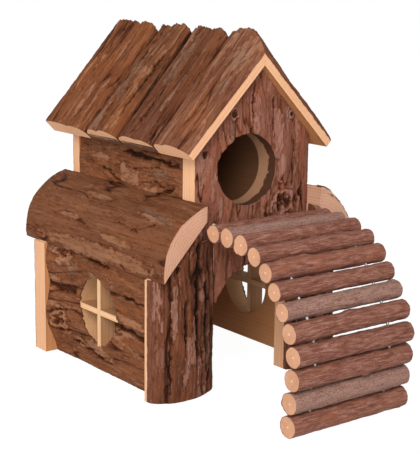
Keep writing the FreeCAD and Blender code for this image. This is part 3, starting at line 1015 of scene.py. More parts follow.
    def _dress(self, mesh: Mesh) -> None:
        """Give every point its grain, its depth below the bark and the bark's masks."""
        count = len(mesh.vertices)
        local = self.lay.local(places(mesh).astype(np.float64))
        line, _, gone = self.section.bark_line(self.spacing)
        share = (local[:, 2] - self.start) / (self.stop - self.start)
        local[:, 1] -= self._thickening(line, local[:, 0]) * share
        nearest = np.empty(count, np.int64)
        reach = np.empty(count)
        for start in range(0, count, BATCH):
            batch = slice(start, start + BATCH)
            part = local[batch, None, :2] - line[None, :, :]
            distance = np.hypot(part[:, :, 0], part[:, :, 1])
            nearest[batch] = distance.argmin(axis=1)
            reach[batch] = distance.min(axis=1)
        sides = np.empty(len(mesh.polygons), np.int32)
        mesh.polygons.foreach_get("material_index", sides)
        on_bark = np.zeros(count, bool)
        totals = np.empty(len(mesh.polygons), np.int32)
        mesh.polygons.foreach_get("loop_total", totals)
        corners = np.empty(len(mesh.loops), np.int32)
        mesh.loops.foreach_get("vertex_index", corners)
        on_bark[corners[np.repeat(sides == BARK_FACE, totals)]] = True
        across = gone[nearest]
        found = bark_field(self.style, self.seed, self.marks, across, local[:, 2])
        grain = local + np.array([0.0, 0.0, GRAIN_SHIFT * (self.seed % 50)])
        # Painted shade: the bark darkens in the valley where it turns in between two slabs.
        level = found.level - TURN_SHADE * self._turning(across, gone[-1])
        write(mesh, "grain", "FLOAT_VECTOR", grain * MM)
        write(mesh, "bark", "FLOAT_VECTOR", np.stack([level, found.plate, found.lichen], axis=1))
        write(mesh, "depth", "FLOAT", np.where(on_bark, 0.0, reach))
        mesh.polygons.foreach_set("use_smooth", sides == BARK_FACE)
        mesh.update()


def places(mesh: Mesh) -> np.ndarray:
    """Return the place of every point of a mesh."""
    flat = np.empty(len(mesh.vertices) * 3, np.float32)
    mesh.vertices.foreach_get("co", flat)
    return flat.reshape(-1, 3)


def write(mesh: Mesh, name: str, kind: str, values: np.ndarray) -> None:
    """Store a value for every point of a mesh."""
    attribute = mesh.attributes.new(name, kind, "POINT")
    attribute.data.foreach_set("value" if kind == "FLOAT" else "vector",
                               values.astype(np.float32).ravel())


def bulge(width: float, edge_a: float, edge_b: float, crown: float, lean: float) -> list[Point2]:
    """Return five points of a slab's bark line, from edge to edge, as part.py makes them."""
    points = []
    for quarter in range(5):
        t = quarter / 4.0
        edge = edge_a + (edge_b - edge_a) * t
        rise = (1.0 - (2.0 * t - 1.0) ** 2) * (1.0 + lean * (2.0 * t - 1.0))
        points.append((width * t, edge + (crown - edge) * rise))
    return points


def placed(*rows: tuple) -> tuple[BarkMark, ...]:
    """Return a mark for each row of its values."""
    return tuple(BarkMark(*row) for row in rows)


K, L, F, C, B = Mark.KNOT, Mark.LICHEN, Mark.FLAKE, Mark.CRACK, Mark.BULGE

# Features placed one by one on the bark, each as its kind, its place across and along the grain,
# half its width and length, its slant and its height
FRONT_MARKS = placed(
    (B, 31, 117, 24, 24, 0, 2), (K, 57, 96.8, 12, 9.5, 0, 1.6), (K, 23, 146.5, 4.5, 4.5),
    (K, 63, 144, 3.5, 3.5), (C, 6, 126.3, 1.4, 2.2), (C, 36, 147, 0.9, 17, 0.05),
    (F, 38.5, 145, 1.6, 15), (L, 21, 136, 1.8, 8), (F, 53, 134, 4, 15, 0.05),
    (F, 55.5, 116, 3.4, 9, 0.1), (L, 61, 145, 4, 5), (C, 50, 143, 0.8, 12), (C, 65, 118, 0.9, 14),
    (C, 72, 101, 1.3, 5), (C, 49, 92, 1, 6, 0.4), (F, 15, 98, 1.6, 7), (C, 45, 90, 1, 9))
OUTER_MARKS = placed(
    (B, 23, 107, 17, 16, 0, 6), (B, 58, 107, 20, 16, 0, 6), (K, 22, 96, 9, 8, 0, 1.4),
    (L, 54, 89, 6, 9), (L, 63, 99, 3, 5), (C, 41, 96, 3.2, 16, 0.05, 2),
    (C, 30, 24, 2.4, 22, 0.12, 1.3), (F, 36, 28, 2.4, 15, 0.12), (B, 54, 34, 10, 18, 0, 2.8),
    (K, 61, 92, 8, 9, 0, 1.2), (B, 20, 42, 9, 16, 0, 2.2), (B, 57, 58, 7, 12, 0, 2.2),
    (F, 12, 60, 2.4, 18, 0.12), (C, 9, 66, 1, 24, 0.12), (C, 48, 22, 0.9, 12, 0.1),
    (F, 44, 100, 2.5, 6), (K, 56, 44, 2.4, 3.2), (C, 62, 60, 1.1, 14, 0.1))
SIDE_MARKS = placed(
    (B, 20, 58, 8, 20, 0, 1.2), (F, 22, 60, 5, 14, 0.1), (F, 14, 42, 4, 12, -0.2),
    (C, 33, 40, 1.8, 28, 0.05, 1.4), (C, 20, 78, 1.4, 12, 0.3, 1.3), (L, 26, 30, 3, 10),
    (F, 28, 88, 3, 9), (C, 16, 28, 1.4, 10, -0.4, 1.3), (C, 12, 64, 1.3, 9, 0.5))
ROOF_MARKS = (
    placed(
        (L, 8, 58, 3, 8), (L, 6, 42, 2, 6), (F, 24, 66, 0.8, 12), (F, 20.5, 60, 0.8, 12)),
    placed(
        (C, 12, 60, 1, 16, 0.05), (L, 21, 52, 3.5, 20), (C, 20, 22, 1, 22), (F, 26, 66, 2, 9),
        (C, 27, 14, 1.3, 14), (F, 9, 30, 1.4, 14)),
    placed(
        (L, 24, 38, 3.5, 16), (F, 13, 40, 4, 9, 0.2), (C, 8, 34, 1, 24),
        (C, 18, 20, 1.2, 18, 0.08), (L, 24, 8, 3, 9), (C, 26, 58, 1.2, 14),
        (F, 19, 58, 2, 8, -0.1)),
    placed(
        (C, 30, 56, 1, 20), (F, 28, 44, 1.8, 9), (F, 34.5, 40, 0.9, 22), (F, 18, 18, 2, 16, 0.1),
        (C, 36, 30, 0.9, 20)))
CAP_MARKS = placed(
    (L, 33, 12, 3.4, 17, 0.1), (F, 31, 14, 1.6, 14, 0.12), (F, 8, 52, 1.8, 22, 0.02),
    (F, 7, 20, 1.6, 14, -0.05), (C, 23, 30, 0.7, 14, 0.1, 0.6), (B, 30, 60, 14, 30, 0, 0.7),
    (F, 5, 55, 5, 64, 0, 0.3), (F, 14, 36, 2.2, 18, 0.05, 0.5), (F, 36, 70, 2, 16, 0.03, 0.4),
    (F, 20, 84, 1.6, 14, -0.03, 0.4))
RIGHT_CAP_MARKS = placed(
    (B, 50, -10, 16, 50, 0, 2.6), (B, 16, -10, 14, 50, 0, -1), (F, 45, -6, 4, 5, 0, 2),
    (L, 24, 40, 4, 18))
POST_MARKS = placed(
    (F, 13, 48, 2, 18), (C, 20, 30, 1.4, 26, 0, 1.2), (F, 21, 20, 2.6, 14, 0.1),
    (C, 11, 22, 0.9, 20), (F, 33, 56, 2, 14), (L, 37, 24, 3, 14),
    (C, 28.5, 52, 2.2, 34, 0.02, 1.3), (C, 32, 14, 1.4, 16), (F, 25, 30, 2, 14),
    (C, 15, 70, 1.2, 2), (C, 36, 44, 1.6, 24, 0, 1.2), (C, 40, 20, 1.4, 16))


class Palette:
    """Every material of the house, made once."""

    def __init__(self) -> None:
        """Build the finishes."""
        bodies = ((-0.01, linear(112, 69, 51)), (-0.06, linear(106, 66, 47)),
                  (-0.05, linear(111, 66, 41)), (-0.01, linear(121, 69, 40)))
        self.roof = [BarkFinish(f"roof_bark_{index + 1}", lift=lift, body=body).build()
                     for index, (lift, body) in enumerate(bodies)]
        lilac = linear(168, 128, 114)
        self.wall = BarkFinish("front_bark", body=linear(128, 78, 60), light=linear(152, 103, 85),
                               pale=lilac,
                               grey=linear(146, 118, 108), ochre=linear(140, 78, 52),
                               lift=0.04).build()
        self.post = BarkFinish("front_slab_bark", deep=linear(34, 15, 8), dark=linear(74, 40, 24),
                               lift=-0.05,
                               body=linear(108, 62, 42), light=linear(140, 96, 76), pale=lilac,
                               streaks=0.3, warmth=0.15).build()
        self.side = BarkFinish("side_bark", body=linear(122, 74, 47)).build()
        self.cap = BarkFinish("annex_roof_bark", lift=-0.01, body=linear(118, 74, 49),
                              light=linear(146, 101, 74), streaks=0.3,
                              warmth=0.15, pale=linear(164, 116, 84)).build()
        self.sawn = SawnFinish("sawn_wood").build()
        self.post_edge = SawnFinish("sawn_front_slab", rim_depth=2.4, rim_rough=0.5,
                                    rim=linear(118, 70, 48)).build()
        self.room = SawnFinish("sawn_room", pale=linear(170, 118, 82),
                               late=linear(142, 94, 62)).build()
        self.inner = SawnFinish("sawn_inside", pale=linear(194, 134, 86),
                                late=linear(164, 106, 64)).build()
        self.reveal = SawnFinish("sawn_reveal", rim_depth=5.8, rim_rough=1.6,
                                 rim=linear(92, 56, 38),
                                 pale=linear(162, 120, 90), late=linear(136, 96, 68),
                                 cambium=linear(154, 106, 78)).build()
        self.hole = SawnFinish("window_reveal", rim_depth=0.9, rim_rough=0.6,
                               pale=linear(204, 156, 112),
                               late=linear(160, 114, 74)).build()
        self.cap_end = SawnFinish("annex_roof_end", pale=linear(208, 160, 132),
                                  late=linear(178, 126, 98), contrast=0.4,
                                  heart_across=-0.036, heart_deep=0.072).build()
        self.strip = SawnFinish("planed_strip", rim_depth=-9.0, pale=linear(236, 192, 146)).build()
        # Painted shade: a darker copy of the planed wood for the strips' sides, which lie in shade
        # deep in the window hole.
        self.strip_side = SawnFinish("planed_strip_side", rim_depth=-9.0, pale=linear(178, 134, 96),
                                     late=linear(150, 106, 70)).build()
        self.board = SawnFinish("sawn_board", rim_depth=-9.0, pale=linear(140, 94, 60),
                                late=linear(110, 70, 42)).build()
        self.stick = StickBarkFinish("stick_bark").build()
        self.stick_end = StickEndFinish("stick_end").build()
        self.wire = WireFinish("galvanised_wire").build()


@dataclass
class Tower:
    """The upper storey and the middle of the lower one. Sizes are in millimetres, as in part.py."""

    palette: Palette
    half: float = 38.4
    front_thick: float = 10.9
    front_crown: float = 13.2
    back_outer_y: float = 119.7
    back_thick: float = 7.0
    back_crown: float = 10.0
    ridge_z: float = 171.1
    eave_x: float = 45.2
    eave_z: float = 125.5
    tongue_half: float = 26.4
    shoulder_z: float = 81.5
    tongue_foot_z: float = 47.5
    entrance: Point3 = (-6.6, 117.0, 18.9)
    arch_r: float = 26.4
    arch_z: float = 39.5
    side_in_x: float = 29.5
    side_edge: float = 5.6
    side_crown: float = 8.8
    floor_thick: float = 5.5

    def slope(self) -> float:
        """Return the roof's fall per millimetre across."""
        return (self.ridge_z - self.eave_z) / self.eave_x

    def roof_height(self, x: float) -> float:
        """Return the height of the roof's sawn face at a distance from the middle."""
        return self.ridge_z - abs(x) * self.slope()

    def gable(self, foot_z: float) -> Piece:
        """Return the shape that trims an end wall, in house millimetres."""
        t, h = self.tongue_half, self.half
        shoulder = self.shoulder_z
        outline = [(-t, foot_z), (t, foot_z), (t, shoulder), (h, shoulder),
                   (h, self.roof_height(h)),
                   (0.0, self.ridge_z), (-h, self.roof_height(h)), (-h, shoulder), (-t, shoulder)]
        return prism(outline, -60.0, 260.0, self.palette.sawn)

    def front_wall(self) -> None:
        """Build the front wall with its round entrance and arch."""
        line = bulge(2 * self.half, self.front_thick, self.front_thick, self.front_crown, -0.15)
        bark = [(-self.half + a, self.front_thick - h) for a, h in line]
        sawn = [(self.half, self.front_thick), (-self.half, self.front_thick)]
        slab = LogSlab("tower_front_wall", Section(bark, sawn), UPRIGHT, 40.0, self.ridge_z + 1.0,
                       BarkStyle(furrow_across=8.0, furrow_along=80.0, furrow_depth=0.9,
                                 peel_across=7.0),
                       11, self.palette.wall, self.palette.sawn, FRONT_MARKS, spacing=0.5,
                       inner=self.palette.inner)
        x, z, radius = self.entrance
        slab.insides.append(self.gable(self.tongue_foot_z))
        for seed, spot, reach in ((3, (x, 0.0, z), radius),
                                  (4, (0.0, 0.0, self.arch_z), self.arch_r)):
            slab.cutters.append(round_cutter("hole", spot, DEPTH, reach, 40.0, self.palette.reveal,
                                             seed))
        slab.build()

    def back_wall(self) -> None:
        """Build the closed back wall."""
        inner = self.back_outer_y - self.back_thick
        line = bulge(2 * self.half, self.back_thick, self.back_thick, self.back_crown, 0.2)
        bark = [(-self.half + a, inner + h) for a, h in line]
        sawn = [(self.half, inner), (-self.half, inner)]
        slab = LogSlab("tower_back_wall", Section(bark, sawn), UPRIGHT, 0.0, self.ridge_z + 1.0,
                       BarkStyle(furrow_across=8.0), 12, self.palette.wall, self.palette.sawn,
                       spacing=0.8,
                       inner=self.palette.inner)
        slab.insides.append(self.gable(0.0))
        slab.build()

    def side_wall(self, side: Side) -> None:
        """Build one side wall of the upper room, which lies along the depth."""
        low = self.shoulder_z + self.floor_thick
        height = self.roof_height(self.side_in_x) - low
        line = bulge(height, self.side_edge, self.side_edge, self.side_crown, -0.35)
        bark = [(-self.side_in_x - out, low + up) for up, out in line]
        sawn = [(-self.side_in_x, low + height), (-self.side_in_x, low)]
        y0, y1 = self.front_thick, self.back_outer_y - self.back_thick
        slab = LogSlab(f"tower_{side.name.lower()}_wall", Section(bark, sawn), LENGTHWISE.on(side),
                       y0, y1,
                       BarkStyle(furrow_along=34.0, furrow_depth=1.4, peel_across=6.0,
                                 peel_along=16.0,
                                 peel_step=0.9, swell=0.8),
                       21 + side.value, self.palette.side, self.palette.sawn, SIDE_MARKS,
                       inner=self.palette.room)
        ends = [(-FAR, 0.0), (0.0, 0.0), (0.0, self.ridge_z), (-FAR, self.roof_height(FAR))]
        slab.insides.append(prism(ends, y0 - MARGIN, y1 - y0 + 2 * MARGIN, self.palette.sawn, side))
        slab.build()

    def floor(self) -> None:
        """Build the board under the upper room."""
        y0, y1 = self.front_thick, self.back_outer_y - self.back_thick
        corners = ((-self.half, y0), (self.half, y0), (self.half, y1), (-self.half, y1))
        outline = [(x, y, self.shoulder_z) for x, y in corners]
        board = solid_block("upper_floor_board", outline, (0.0, 0.0, self.floor_thick),
                            self.palette.board)
        finish_block(board, 0.3, 31, (1, 2, 0))
        settle(board, ["upper_floor"], "house", "sawn_board")

    def build(self) -> None:
        """Build the tower."""
        self.front_wall()
        self.back_wall()
        for side in Side:
            self.side_wall(side)
        self.floor()


def finish_block(piece: Piece, edge: float, seed: int, order: tuple[int, int, int]) -> None:
    """Ease a block's edges and give its points their grain.

    Args:
        piece: the block.
        edge: width of the eased edges in millimetres.
        seed: the number that shifts its pattern.
        order: which of X, Y and Z run across, deep and along the grain.
    """
    work = bmesh.new()
    work.from_mesh(piece.data)
    bmesh.ops.bevel(work, geom=list(work.edges), offset=edge * MM, segments=2, profile=0.7,
                    affect="EDGES")
    bmesh.ops.recalc_face_normals(work, faces=work.faces)
    work.to_mesh(piece.data)
    work.free()
    mesh = piece.data
    points = places(mesh)
    grain = np.stack([points[:, order[0]], points[:, order[1]], points[:, order[2]] + 0.1 * seed],
                     axis=1)
    write(mesh, "grain", "FLOAT_VECTOR", grain)
    write(mesh, "depth", "FLOAT", np.full(len(points), 5.0))
    mesh.update()


@dataclass
class MainRoof:
    """Eight slabs, four on each slope."""

    palette: Palette
    tower: Tower
    front_y: float = -7.3
    eaves: tuple = (((0.0, 4.65), (9.5, 9.6), (20.5, 8.3), (25.0, 8.6), (29.8, 4.9)),
                    ((0.0, 4.9), (7.0, 8.8), (14.0, 8.5), (22.0, 9.9), (32.9, 5.4)),
                    ((0.0, 5.4), (9.0, 10.5), (18.0, 9.1), (25.0, 9.4), (32.1, 4.9)),
                    ((0.0, 4.8), (10.0, 8.9), (17.0, 8.3), (28.0, 9.9), (40.7, 8.9)))
    ridges: tuple = (((0.0, 4.65), (9.0, 12.4), (16.0, 12.8), (23.0, 12.4), (29.8, 10.2)),
                     ((0.0, 9.9), (7.0, 12.2), (14.0, 11.4), (22.0, 12.7), (32.9, 10.6)),
                     ((0.0, 10.6), (9.0, 12.9), (18.0, 11.7), (25.0, 11.9), (32.1, 9.8)),
                     ((0.0, 9.8), (10.0, 12.5), (17.0, 11.9), (28.0, 13.1), (40.7, 12.6)))
    length: float = 80.0
    gap: float = 0.3
    ridge_gap: float = 0.15
    sky_z: float = 300.0
    first_seed: int = 40

    def style(self, index: int) -> BarkStyle:
        """Return the bark of one slab: long fibres down the slope, torn at the ridge."""
        return BarkStyle(furrow_across=(12.0, 8.0, 8.0, 12.0)[index], furrow_along=150.0,
                         furrow_depth=(0.35, 0.8, 0.9, 0.45)[index], peel_across=6.0,
                         peel_along=(60.0, 70.0, 40.0, 70.0)[index],
                         peel_step=(0.25, 0.4, 0.5, 0.3)[index], crease_depth=0.3, fibre_depth=0.25,
                         swell=0.4,
                         ragged_top=(0.2, 0.35, 0.5, 0.5)[index],
                         first_edge=0.0 if index == 0 else 0.7,
                         last_edge=0.0 if index == 3 else 0.8)

    def slab(self, side: Side, index: int) -> None:
        """Build one slab, sawn square at the eave and mitred at the ridge."""
        y0 = self.front_y + sum(line[-1][0] + self.gap for line in self.eaves[:index])
        width = self.eaves[index][-1][0]
        angle = math.atan(self.tower.slope())
        section, crest = (Section([(y0 + a, h) for a, h in lines[index]],
                                  [(y0 + width, 0.0), (y0, 0.0)])
                          for lines in (self.eaves, self.ridges))
        lay = Lay((-self.tower.eave_x, 0.0, self.tower.eave_z), DEPTH,
                  (-math.sin(angle), 0.0, math.cos(angle)), (math.cos(angle), 0.0, math.sin(angle)))
        name = f"roof_{side.name.lower()}_slab_{index + 1}"
        right = side is Side.RIGHT
        # Painted shade: the flat underside takes the browner inside wood, darkening the soffit
        # under the eaves.
        slab = LogSlab(name, section, lay.on(side), 0.0, self.length, self.style(index),
                       self.first_seed + index * 2 + right, self.palette.roof[index],
                       self.palette.sawn,
                       () if right else ROOF_MARKS[index],
                       slot="roof_slab_wood", crest=crest, inner=self.palette.inner)
        near = -self.ridge_gap / 2
        outline = [(near, 0.0), (-FAR, 0.0), (-FAR, self.sky_z), (near, self.sky_z)]
        slab.insides.append(prism(outline, y0 - 4 * MARGIN, width + 8 * MARGIN, self.palette.sawn,
                                  side))
        slab.build()

    def build(self) -> None:
        """Build both slopes."""
        for side in Side:
            for index in range(len(self.eaves)):
                self.slab(side, index)


@dataclass
class Annex:
    """One annex: two end slabs, an outer wall with a round window, and a half log for its roof."""

    palette: Palette
    side: Side
    tower: Tower
    bark_line: tuple
    inner_y: float
    window: Point2
    seed: int
    half: float = 66.4
    wall_in_x: float = 47.1
    wall_edge_x: float = 58.4
    wall_crown: Point2 = (60.4, 36.0)
    wall_top: Point2 = (56.0, 90.0)
    back_in_y: float = 105.9
    back_edges: Point2 = (12.0, 11.0)
    back_crown: float = 14.0
    tip: Point2 = (63.7, 66.8)
    lip: Point2 = (65.1, 64.9)
    cut_x: float = 38.4
    cut_z: float = 94.0
    cut_top_z: float = 102.4
    roof_bark: tuple = ((-64.8, 76.0), (-60.5, 87.3), (-50.5, 96.8))
    roof_y: Point2 = (-10.3, 129.1)
    window_r: float = 19.1
    bar_width: float = 3.2
    bar_depth: float = 9.5
    bar_out_x: float = 59.6
    bar_sink: float = 1.6
    lap_slack: float = 0.05

    def name(self, part: str) -> str:
        """Return the CAD name of one of this annex's parts."""
        return self.side.name.lower() + "_" + part

    def under(self, x: float) -> float:
        """Return the height of the roof's sawn face at a distance from the middle."""
        fall = (self.cut_z - self.tip[1]) / (self.tip[0] - self.cut_x)
        return self.tip[1] + (self.tip[0] - abs(x)) * fall

    def end_outline(self) -> list[Point2]:
        """Return the outline of an end slab: sloped under its roof and stepped for the tower."""
        edge = self.under(self.lip[0]) - 0.4
        return [(-FAR, 0.0), (-FAR, edge), (-self.lip[0], edge),
                (-self.tower.half, self.under(self.tower.half)),
                (-self.tower.half, self.tower.shoulder_z),
                (-self.tower.tongue_half, self.tower.shoulder_z),
                (-self.tower.tongue_half, 0.0)]

    def front_wall(self) -> None:
        """Build the front slab."""
        sawn = [(-self.tower.tongue_half, self.inner_y), (-self.half, self.inner_y)]
        slab = LogSlab(self.name("annex_front_wall"), Section(list(self.bark_line), sawn),
                       UPRIGHT.on(self.side), 0.0,
                       self.cut_top_z,
                       BarkStyle(furrow_across=15.0, furrow_along=130.0, furrow_depth=1.2,
                                 peel_along=50.0,
                                 peel_step=0.7, crease_depth=0.3, swell=0.9),
                       self.seed + 1, self.palette.post, self.palette.post_edge, POST_MARKS,
                       spacing=0.5,
                       inner=self.palette.inner)
        slab.insides.append(prism(self.end_outline(), -60.0, 120.0, self.palette.post_edge,
                                  self.side))
        slab.build()

    def back_wall(self) -> None:
        """Build the back slab."""
        width = self.half - self.tower.tongue_half
        lean = 0.2 * -self.side.value
        line = bulge(width, self.back_edges[0], self.back_edges[1], self.back_crown, lean)
        bark = [(-self.half + a, self.back_in_y + h) for a, h in line]
        sawn = [(-self.tower.tongue_half, self.back_in_y), (-self.half, self.back_in_y)]
        slab = LogSlab(self.name("annex_back_wall"), Section(bark, sawn), UPRIGHT.on(self.side),
                       0.0, self.cut_top_z,
                       BarkStyle(furrow_across=7.0), self.seed + 2, self.palette.wall,
                       self.palette.sawn, spacing=0.8,
                       inner=self.palette.inner)
        slab.insides.append(prism(self.end_outline(), 60.0, 100.0, self.palette.sawn, self.side))
        slab.build()

    def outer_wall(self) -> None:
        """Build the outer wall with its window hole."""
        crown, top = self.wall_crown, self.wall_top
        bark = [(-self.wall_edge_x, 0.0), (-crown[0], crown[1]), (-top[0], top[1])]
        sawn = [(-self.wall_in_x, self.wall_top[1]), (-self.wall_in_x, 0.0)]
        slab = LogSlab(self.name("annex_outer_wall"), Section(bark, sawn), LENGTHWISE.on(self.side),
                       self.inner_y,
                       self.back_in_y,
                       BarkStyle(furrow_across=17.0, furrow_along=80.0, furrow_depth=0.8,
                                 peel_across=6.0,
                                 peel_along=30.0, peel_step=0.6),
                       self.seed + 3, self.palette.side, self.palette.sawn, OUTER_MARKS,
                       spacing=0.55,
                       inner=self.palette.inner)
        low = [(-FAR, -1.0), (-self.tower.half, -1.0),
               (-self.tower.half, self.under(self.tower.half)),
               (-FAR, self.under(FAR))]
        y0, y1 = self.inner_y - MARGIN, self.back_in_y + MARGIN
        slab.insides.append(prism(low, y0, y1 - y0, self.palette.sawn, self.side))
        slab.cutters.append(round_cutter("window", (60.0 * self.side.value, *self.window), ACROSS,
                                         self.window_r, 30.0, self.palette.hole, self.seed + 4))
        slab.build()

    def roof(self) -> None:
        """Build the half log that leans on the tower."""
        lip_x, lip_z = self.lip
        line = [(-lip_x, lip_z), *self.roof_bark, (-self.cut_x, self.cut_top_z)]
        inset = self.tip[0] - 1.6
        sawn = [(-self.cut_x, self.cut_z), (-inset, self.under(inset))]
        slab = LogSlab(self.name("annex_roof"), Section(line, sawn), LENGTHWISE.on(self.side),
                       self.roof_y[0], self.roof_y[1],
                       BarkStyle(furrow_across=16.0, furrow_along=90.0, furrow_depth=0.3,
                                 peel_across=9.0, peel_along=40.0,
                                 peel_step=0.3, crease_depth=0.15, fibre_depth=0.12),
                       self.seed + 5, self.palette.cap, self.palette.cap_end,
                       CAP_MARKS if self.side is Side.LEFT else RIGHT_CAP_MARKS,
                       slot="roof_slab_wood")
        slab.build()

    def bars(self) -> None:
        """Build the window's two strips, halved where they cross."""
        y, z = self.window
        half = self.bar_width / 2
        slack = half + self.lap_slack
        reach = self.window_r + self.bar_sink
        outer, inner = self.bar_out_x, self.bar_out_x - self.bar_depth
        middle = (outer + inner) / 2
        high = [(outer, -reach), (outer, reach), (inner, reach), (inner, slack), (middle, slack),
                (middle, -slack),
                (inner, -slack), (inner, -reach)]
        level = [(inner, -reach), (inner, reach), (outer, reach), (outer, slack), (middle, slack),
                 (middle, -slack),
                 (outer, -slack), (outer, -reach)]
        sign = self.side.value
        strips = (("window_upright", [(x * sign, y - half, z + v) for x, v in high],
                   (0.0, self.bar_width, 0.0), (0, 1, 2)),
                  ("window_crossbar", [(x * sign, y + u, z - half) for x, u in level],
                   (0.0, 0.0, self.bar_width), (0, 2, 1)))
        for part, outline, run, order in strips:
            strip = solid_block(self.name(part) + "_strip", outline, run, self.palette.strip)
            finish_block(strip, 0.15, self.seed, order)
            strip.data.materials.append(self.palette.strip_side)
            # Painted shade: faces that don't look out of the window take the darker copy of the
            # planed wood.
            for face in strip.data.polygons:
                face.material_index = 0 if abs(face.normal.x) > 0.5 else 1
            settle(strip, [self.name(part)], "house", "planed_strip")

    def build(self) -> None:
        """Build the annex."""
        self.front_wall()
        self.back_wall()
        self.outer_wall()
        self.roof()
        self.bars()


class NodeModifier:
    """A Geometry Nodes tree built in the script, with named inputs."""

    def __init__(self, name: str) -> None:
        """Start an empty tree with a geometry output."""
        self.group = bpy.data.node_groups.new(name, "GeometryNodeTree")
        self.group.interface.new_socket("Geometry", in_out="OUTPUT",
                                        socket_type="NodeSocketGeometry")
        self.tree = Tree(self.group)
        self.entry: Optional[Node] = None
        self.inputs: dict[str, str] = {}

    def declare(self, **kinds: str) -> None:
        """Add named inputs, by socket kind."""
        for name, kind in kinds.items():
            socket = self.group.interface.new_socket(name, in_out="INPUT",
                                                     socket_type="NodeSocket" + kind)
            self.inputs[name] = socket.identifier
        self.entry = self.group.nodes.new("NodeGroupInput")

    def given(self, name: str) -> Quantity:
        """Return one of the inputs."""
        return Quantity(self.tree, self.entry.outputs[name])

    def add(self, kind: str, sockets: Optional[dict] = None, **settings: Any) -> Node:
        """Add a node to the tree."""
        return self.tree.add(kind, sockets, **settings)

    def store(self, geometry: Node, name: str, value: Any) -> Node:
        """Keep a vector with every point."""
        return self.add("GeometryNodeStoreNamedAttribute",
                        {"Geometry": geometry, "Name": name, "Value": value},
                        data_type="FLOAT_VECTOR", domain="POINT")

    def run(self, name: str, **values: Any) -> Mesh:
        """Return the tree's result for given inputs as a plain mesh."""
        host = new_piece(name + "_host", bpy.data.meshes.new(name + "_host"))
        modifier = host.modifiers.new("nodes", "NODES")
        modifier.node_group = self.group
        for key, value in values.items():
            modifier[self.inputs[key]] = value
        graph = bpy.context.evaluated_depsgraph_get()
        mesh = bpy.data.meshes.new_from_object(host.evaluated_get(graph),
                                               preserve_all_data_layers=True, depsgraph=graph)
        host.modifiers.remove(modifier)
        drop(host)
        mesh.name = name
        return mesh


def stick_nodes() -> NodeModifier:
    """Return the tree that makes one round stick: uneven, a little bent, sawn at both ends."""
    nodes = NodeModifier("round_stick")
    nodes.declare(Radius="Float", Half_length="Float", Bend="Float", Seed="Float", Finish="Vector",
                  Place="Vector",
                  Bark="Material", End="Material")
    tree = nodes.tree
    half = nodes.given("Half_length")
    start = nodes.add("ShaderNodeCombineXYZ", {0: half * -1.0})
    end = nodes.add("ShaderNodeCombineXYZ", {0: half})
    line = nodes.add("GeometryNodeCurvePrimitiveLine", {"Start": start, "End": end})
    fine = nodes.add("GeometryNodeResampleCurve", {"Curve": line, "Count": STICK_RINGS})
    spot = tree.value("GeometryNodeInputPosition")
    seed = nodes.given("Seed")

    def wave(scale: float, shift: float) -> Quantity:
        """Return noise along the stick, from -0.5 to 0.5."""
        sockets = {"Vector": spot, "W": seed + shift, "Scale": scale, "Detail": 1.0}
        return tree.value("ShaderNodeTexNoise", sockets, noise_dimensions="4D") - 0.5

    sway = nodes.add("ShaderNodeCombineXYZ", {1: wave(14.0, 0.0) * nodes.given("Bend"),
                                              2: wave(14.0, 5.0) * nodes.given("Bend")})
    bent = nodes.add("GeometryNodeSetPosition", {"Geometry": fine, "Offset": sway})
    thick = nodes.add("GeometryNodeSetCurveRadius",
                      {"Curve": bent, "Radius": wave(22.0, 9.0) * 0.12 + 1.0})
    ring = nodes.add("GeometryNodeCurvePrimitiveCircle",
                     {"Resolution": STICK_SIDES, "Radius": nodes.given("Radius")})
    tube = nodes.add("GeometryNodeCurveToMesh",
                     {"Curve": thick, "Profile Curve": ring, "Fill Caps": True})
    moved = nodes.add("ShaderNodeCombineXYZ", {0: seed * 0.31})
    grain = tree.value("ShaderNodeVectorMath", {0: spot, 1: moved}, operation="ADD")
    stored = nodes.store(tube, "grain", grain)
    _, y, z = tree.parts(spot)
    radial = nodes.add("ShaderNodeCombineXYZ", {1: y, 2: z})
    outward_way = nodes.add("ShaderNodeVectorMath", {0: radial}, operation="NORMALIZE")
    rough = tree.noise(grain.stretched(120.0, 420.0, 420.0), 4.0, 0.6) - 0.5
    knots = tree.noise(grain.stretched(55.0, 110.0, 110.0), 1.0, 0.5).rise(0.64, 0.8)
    push = rough * 0.0013 + knots * 0.001
    offset = nodes.add("ShaderNodeVectorMath", {0: outward_way, "Scale": push}, operation="SCALE")
    shaped = nodes.add("GeometryNodeSetPosition", {"Geometry": stored, "Offset": offset})
    finish = nodes.store(shaped, "finish", nodes.given("Finish"))
    facing, _, _ = tree.parts(tree.value("GeometryNodeInputNormal"))
    is_end = tree.value("ShaderNodeMath", {0: facing * facing, 1: 0.8}, operation="GREATER_THAN")
    barked = nodes.add("GeometryNodeSetMaterial", {0: finish, "Material": nodes.given("Bark")})
    smooth = nodes.add("GeometryNodeSetShadeSmooth", {0: barked, "Shade Smooth": 1.0 - is_end})
    placed_there = nodes.add("GeometryNodeTransform",
                             {0: smooth, "Translation": nodes.given("Place")})
    real = nodes.add("GeometryNodeRealizeInstances", {0: placed_there})
    ended = nodes.add("GeometryNodeSetMaterial",
                      {0: real, "Selection": is_end, "Material": nodes.given("End")})
    nodes.add("NodeGroupOutput", {0: ended})
    return nodes


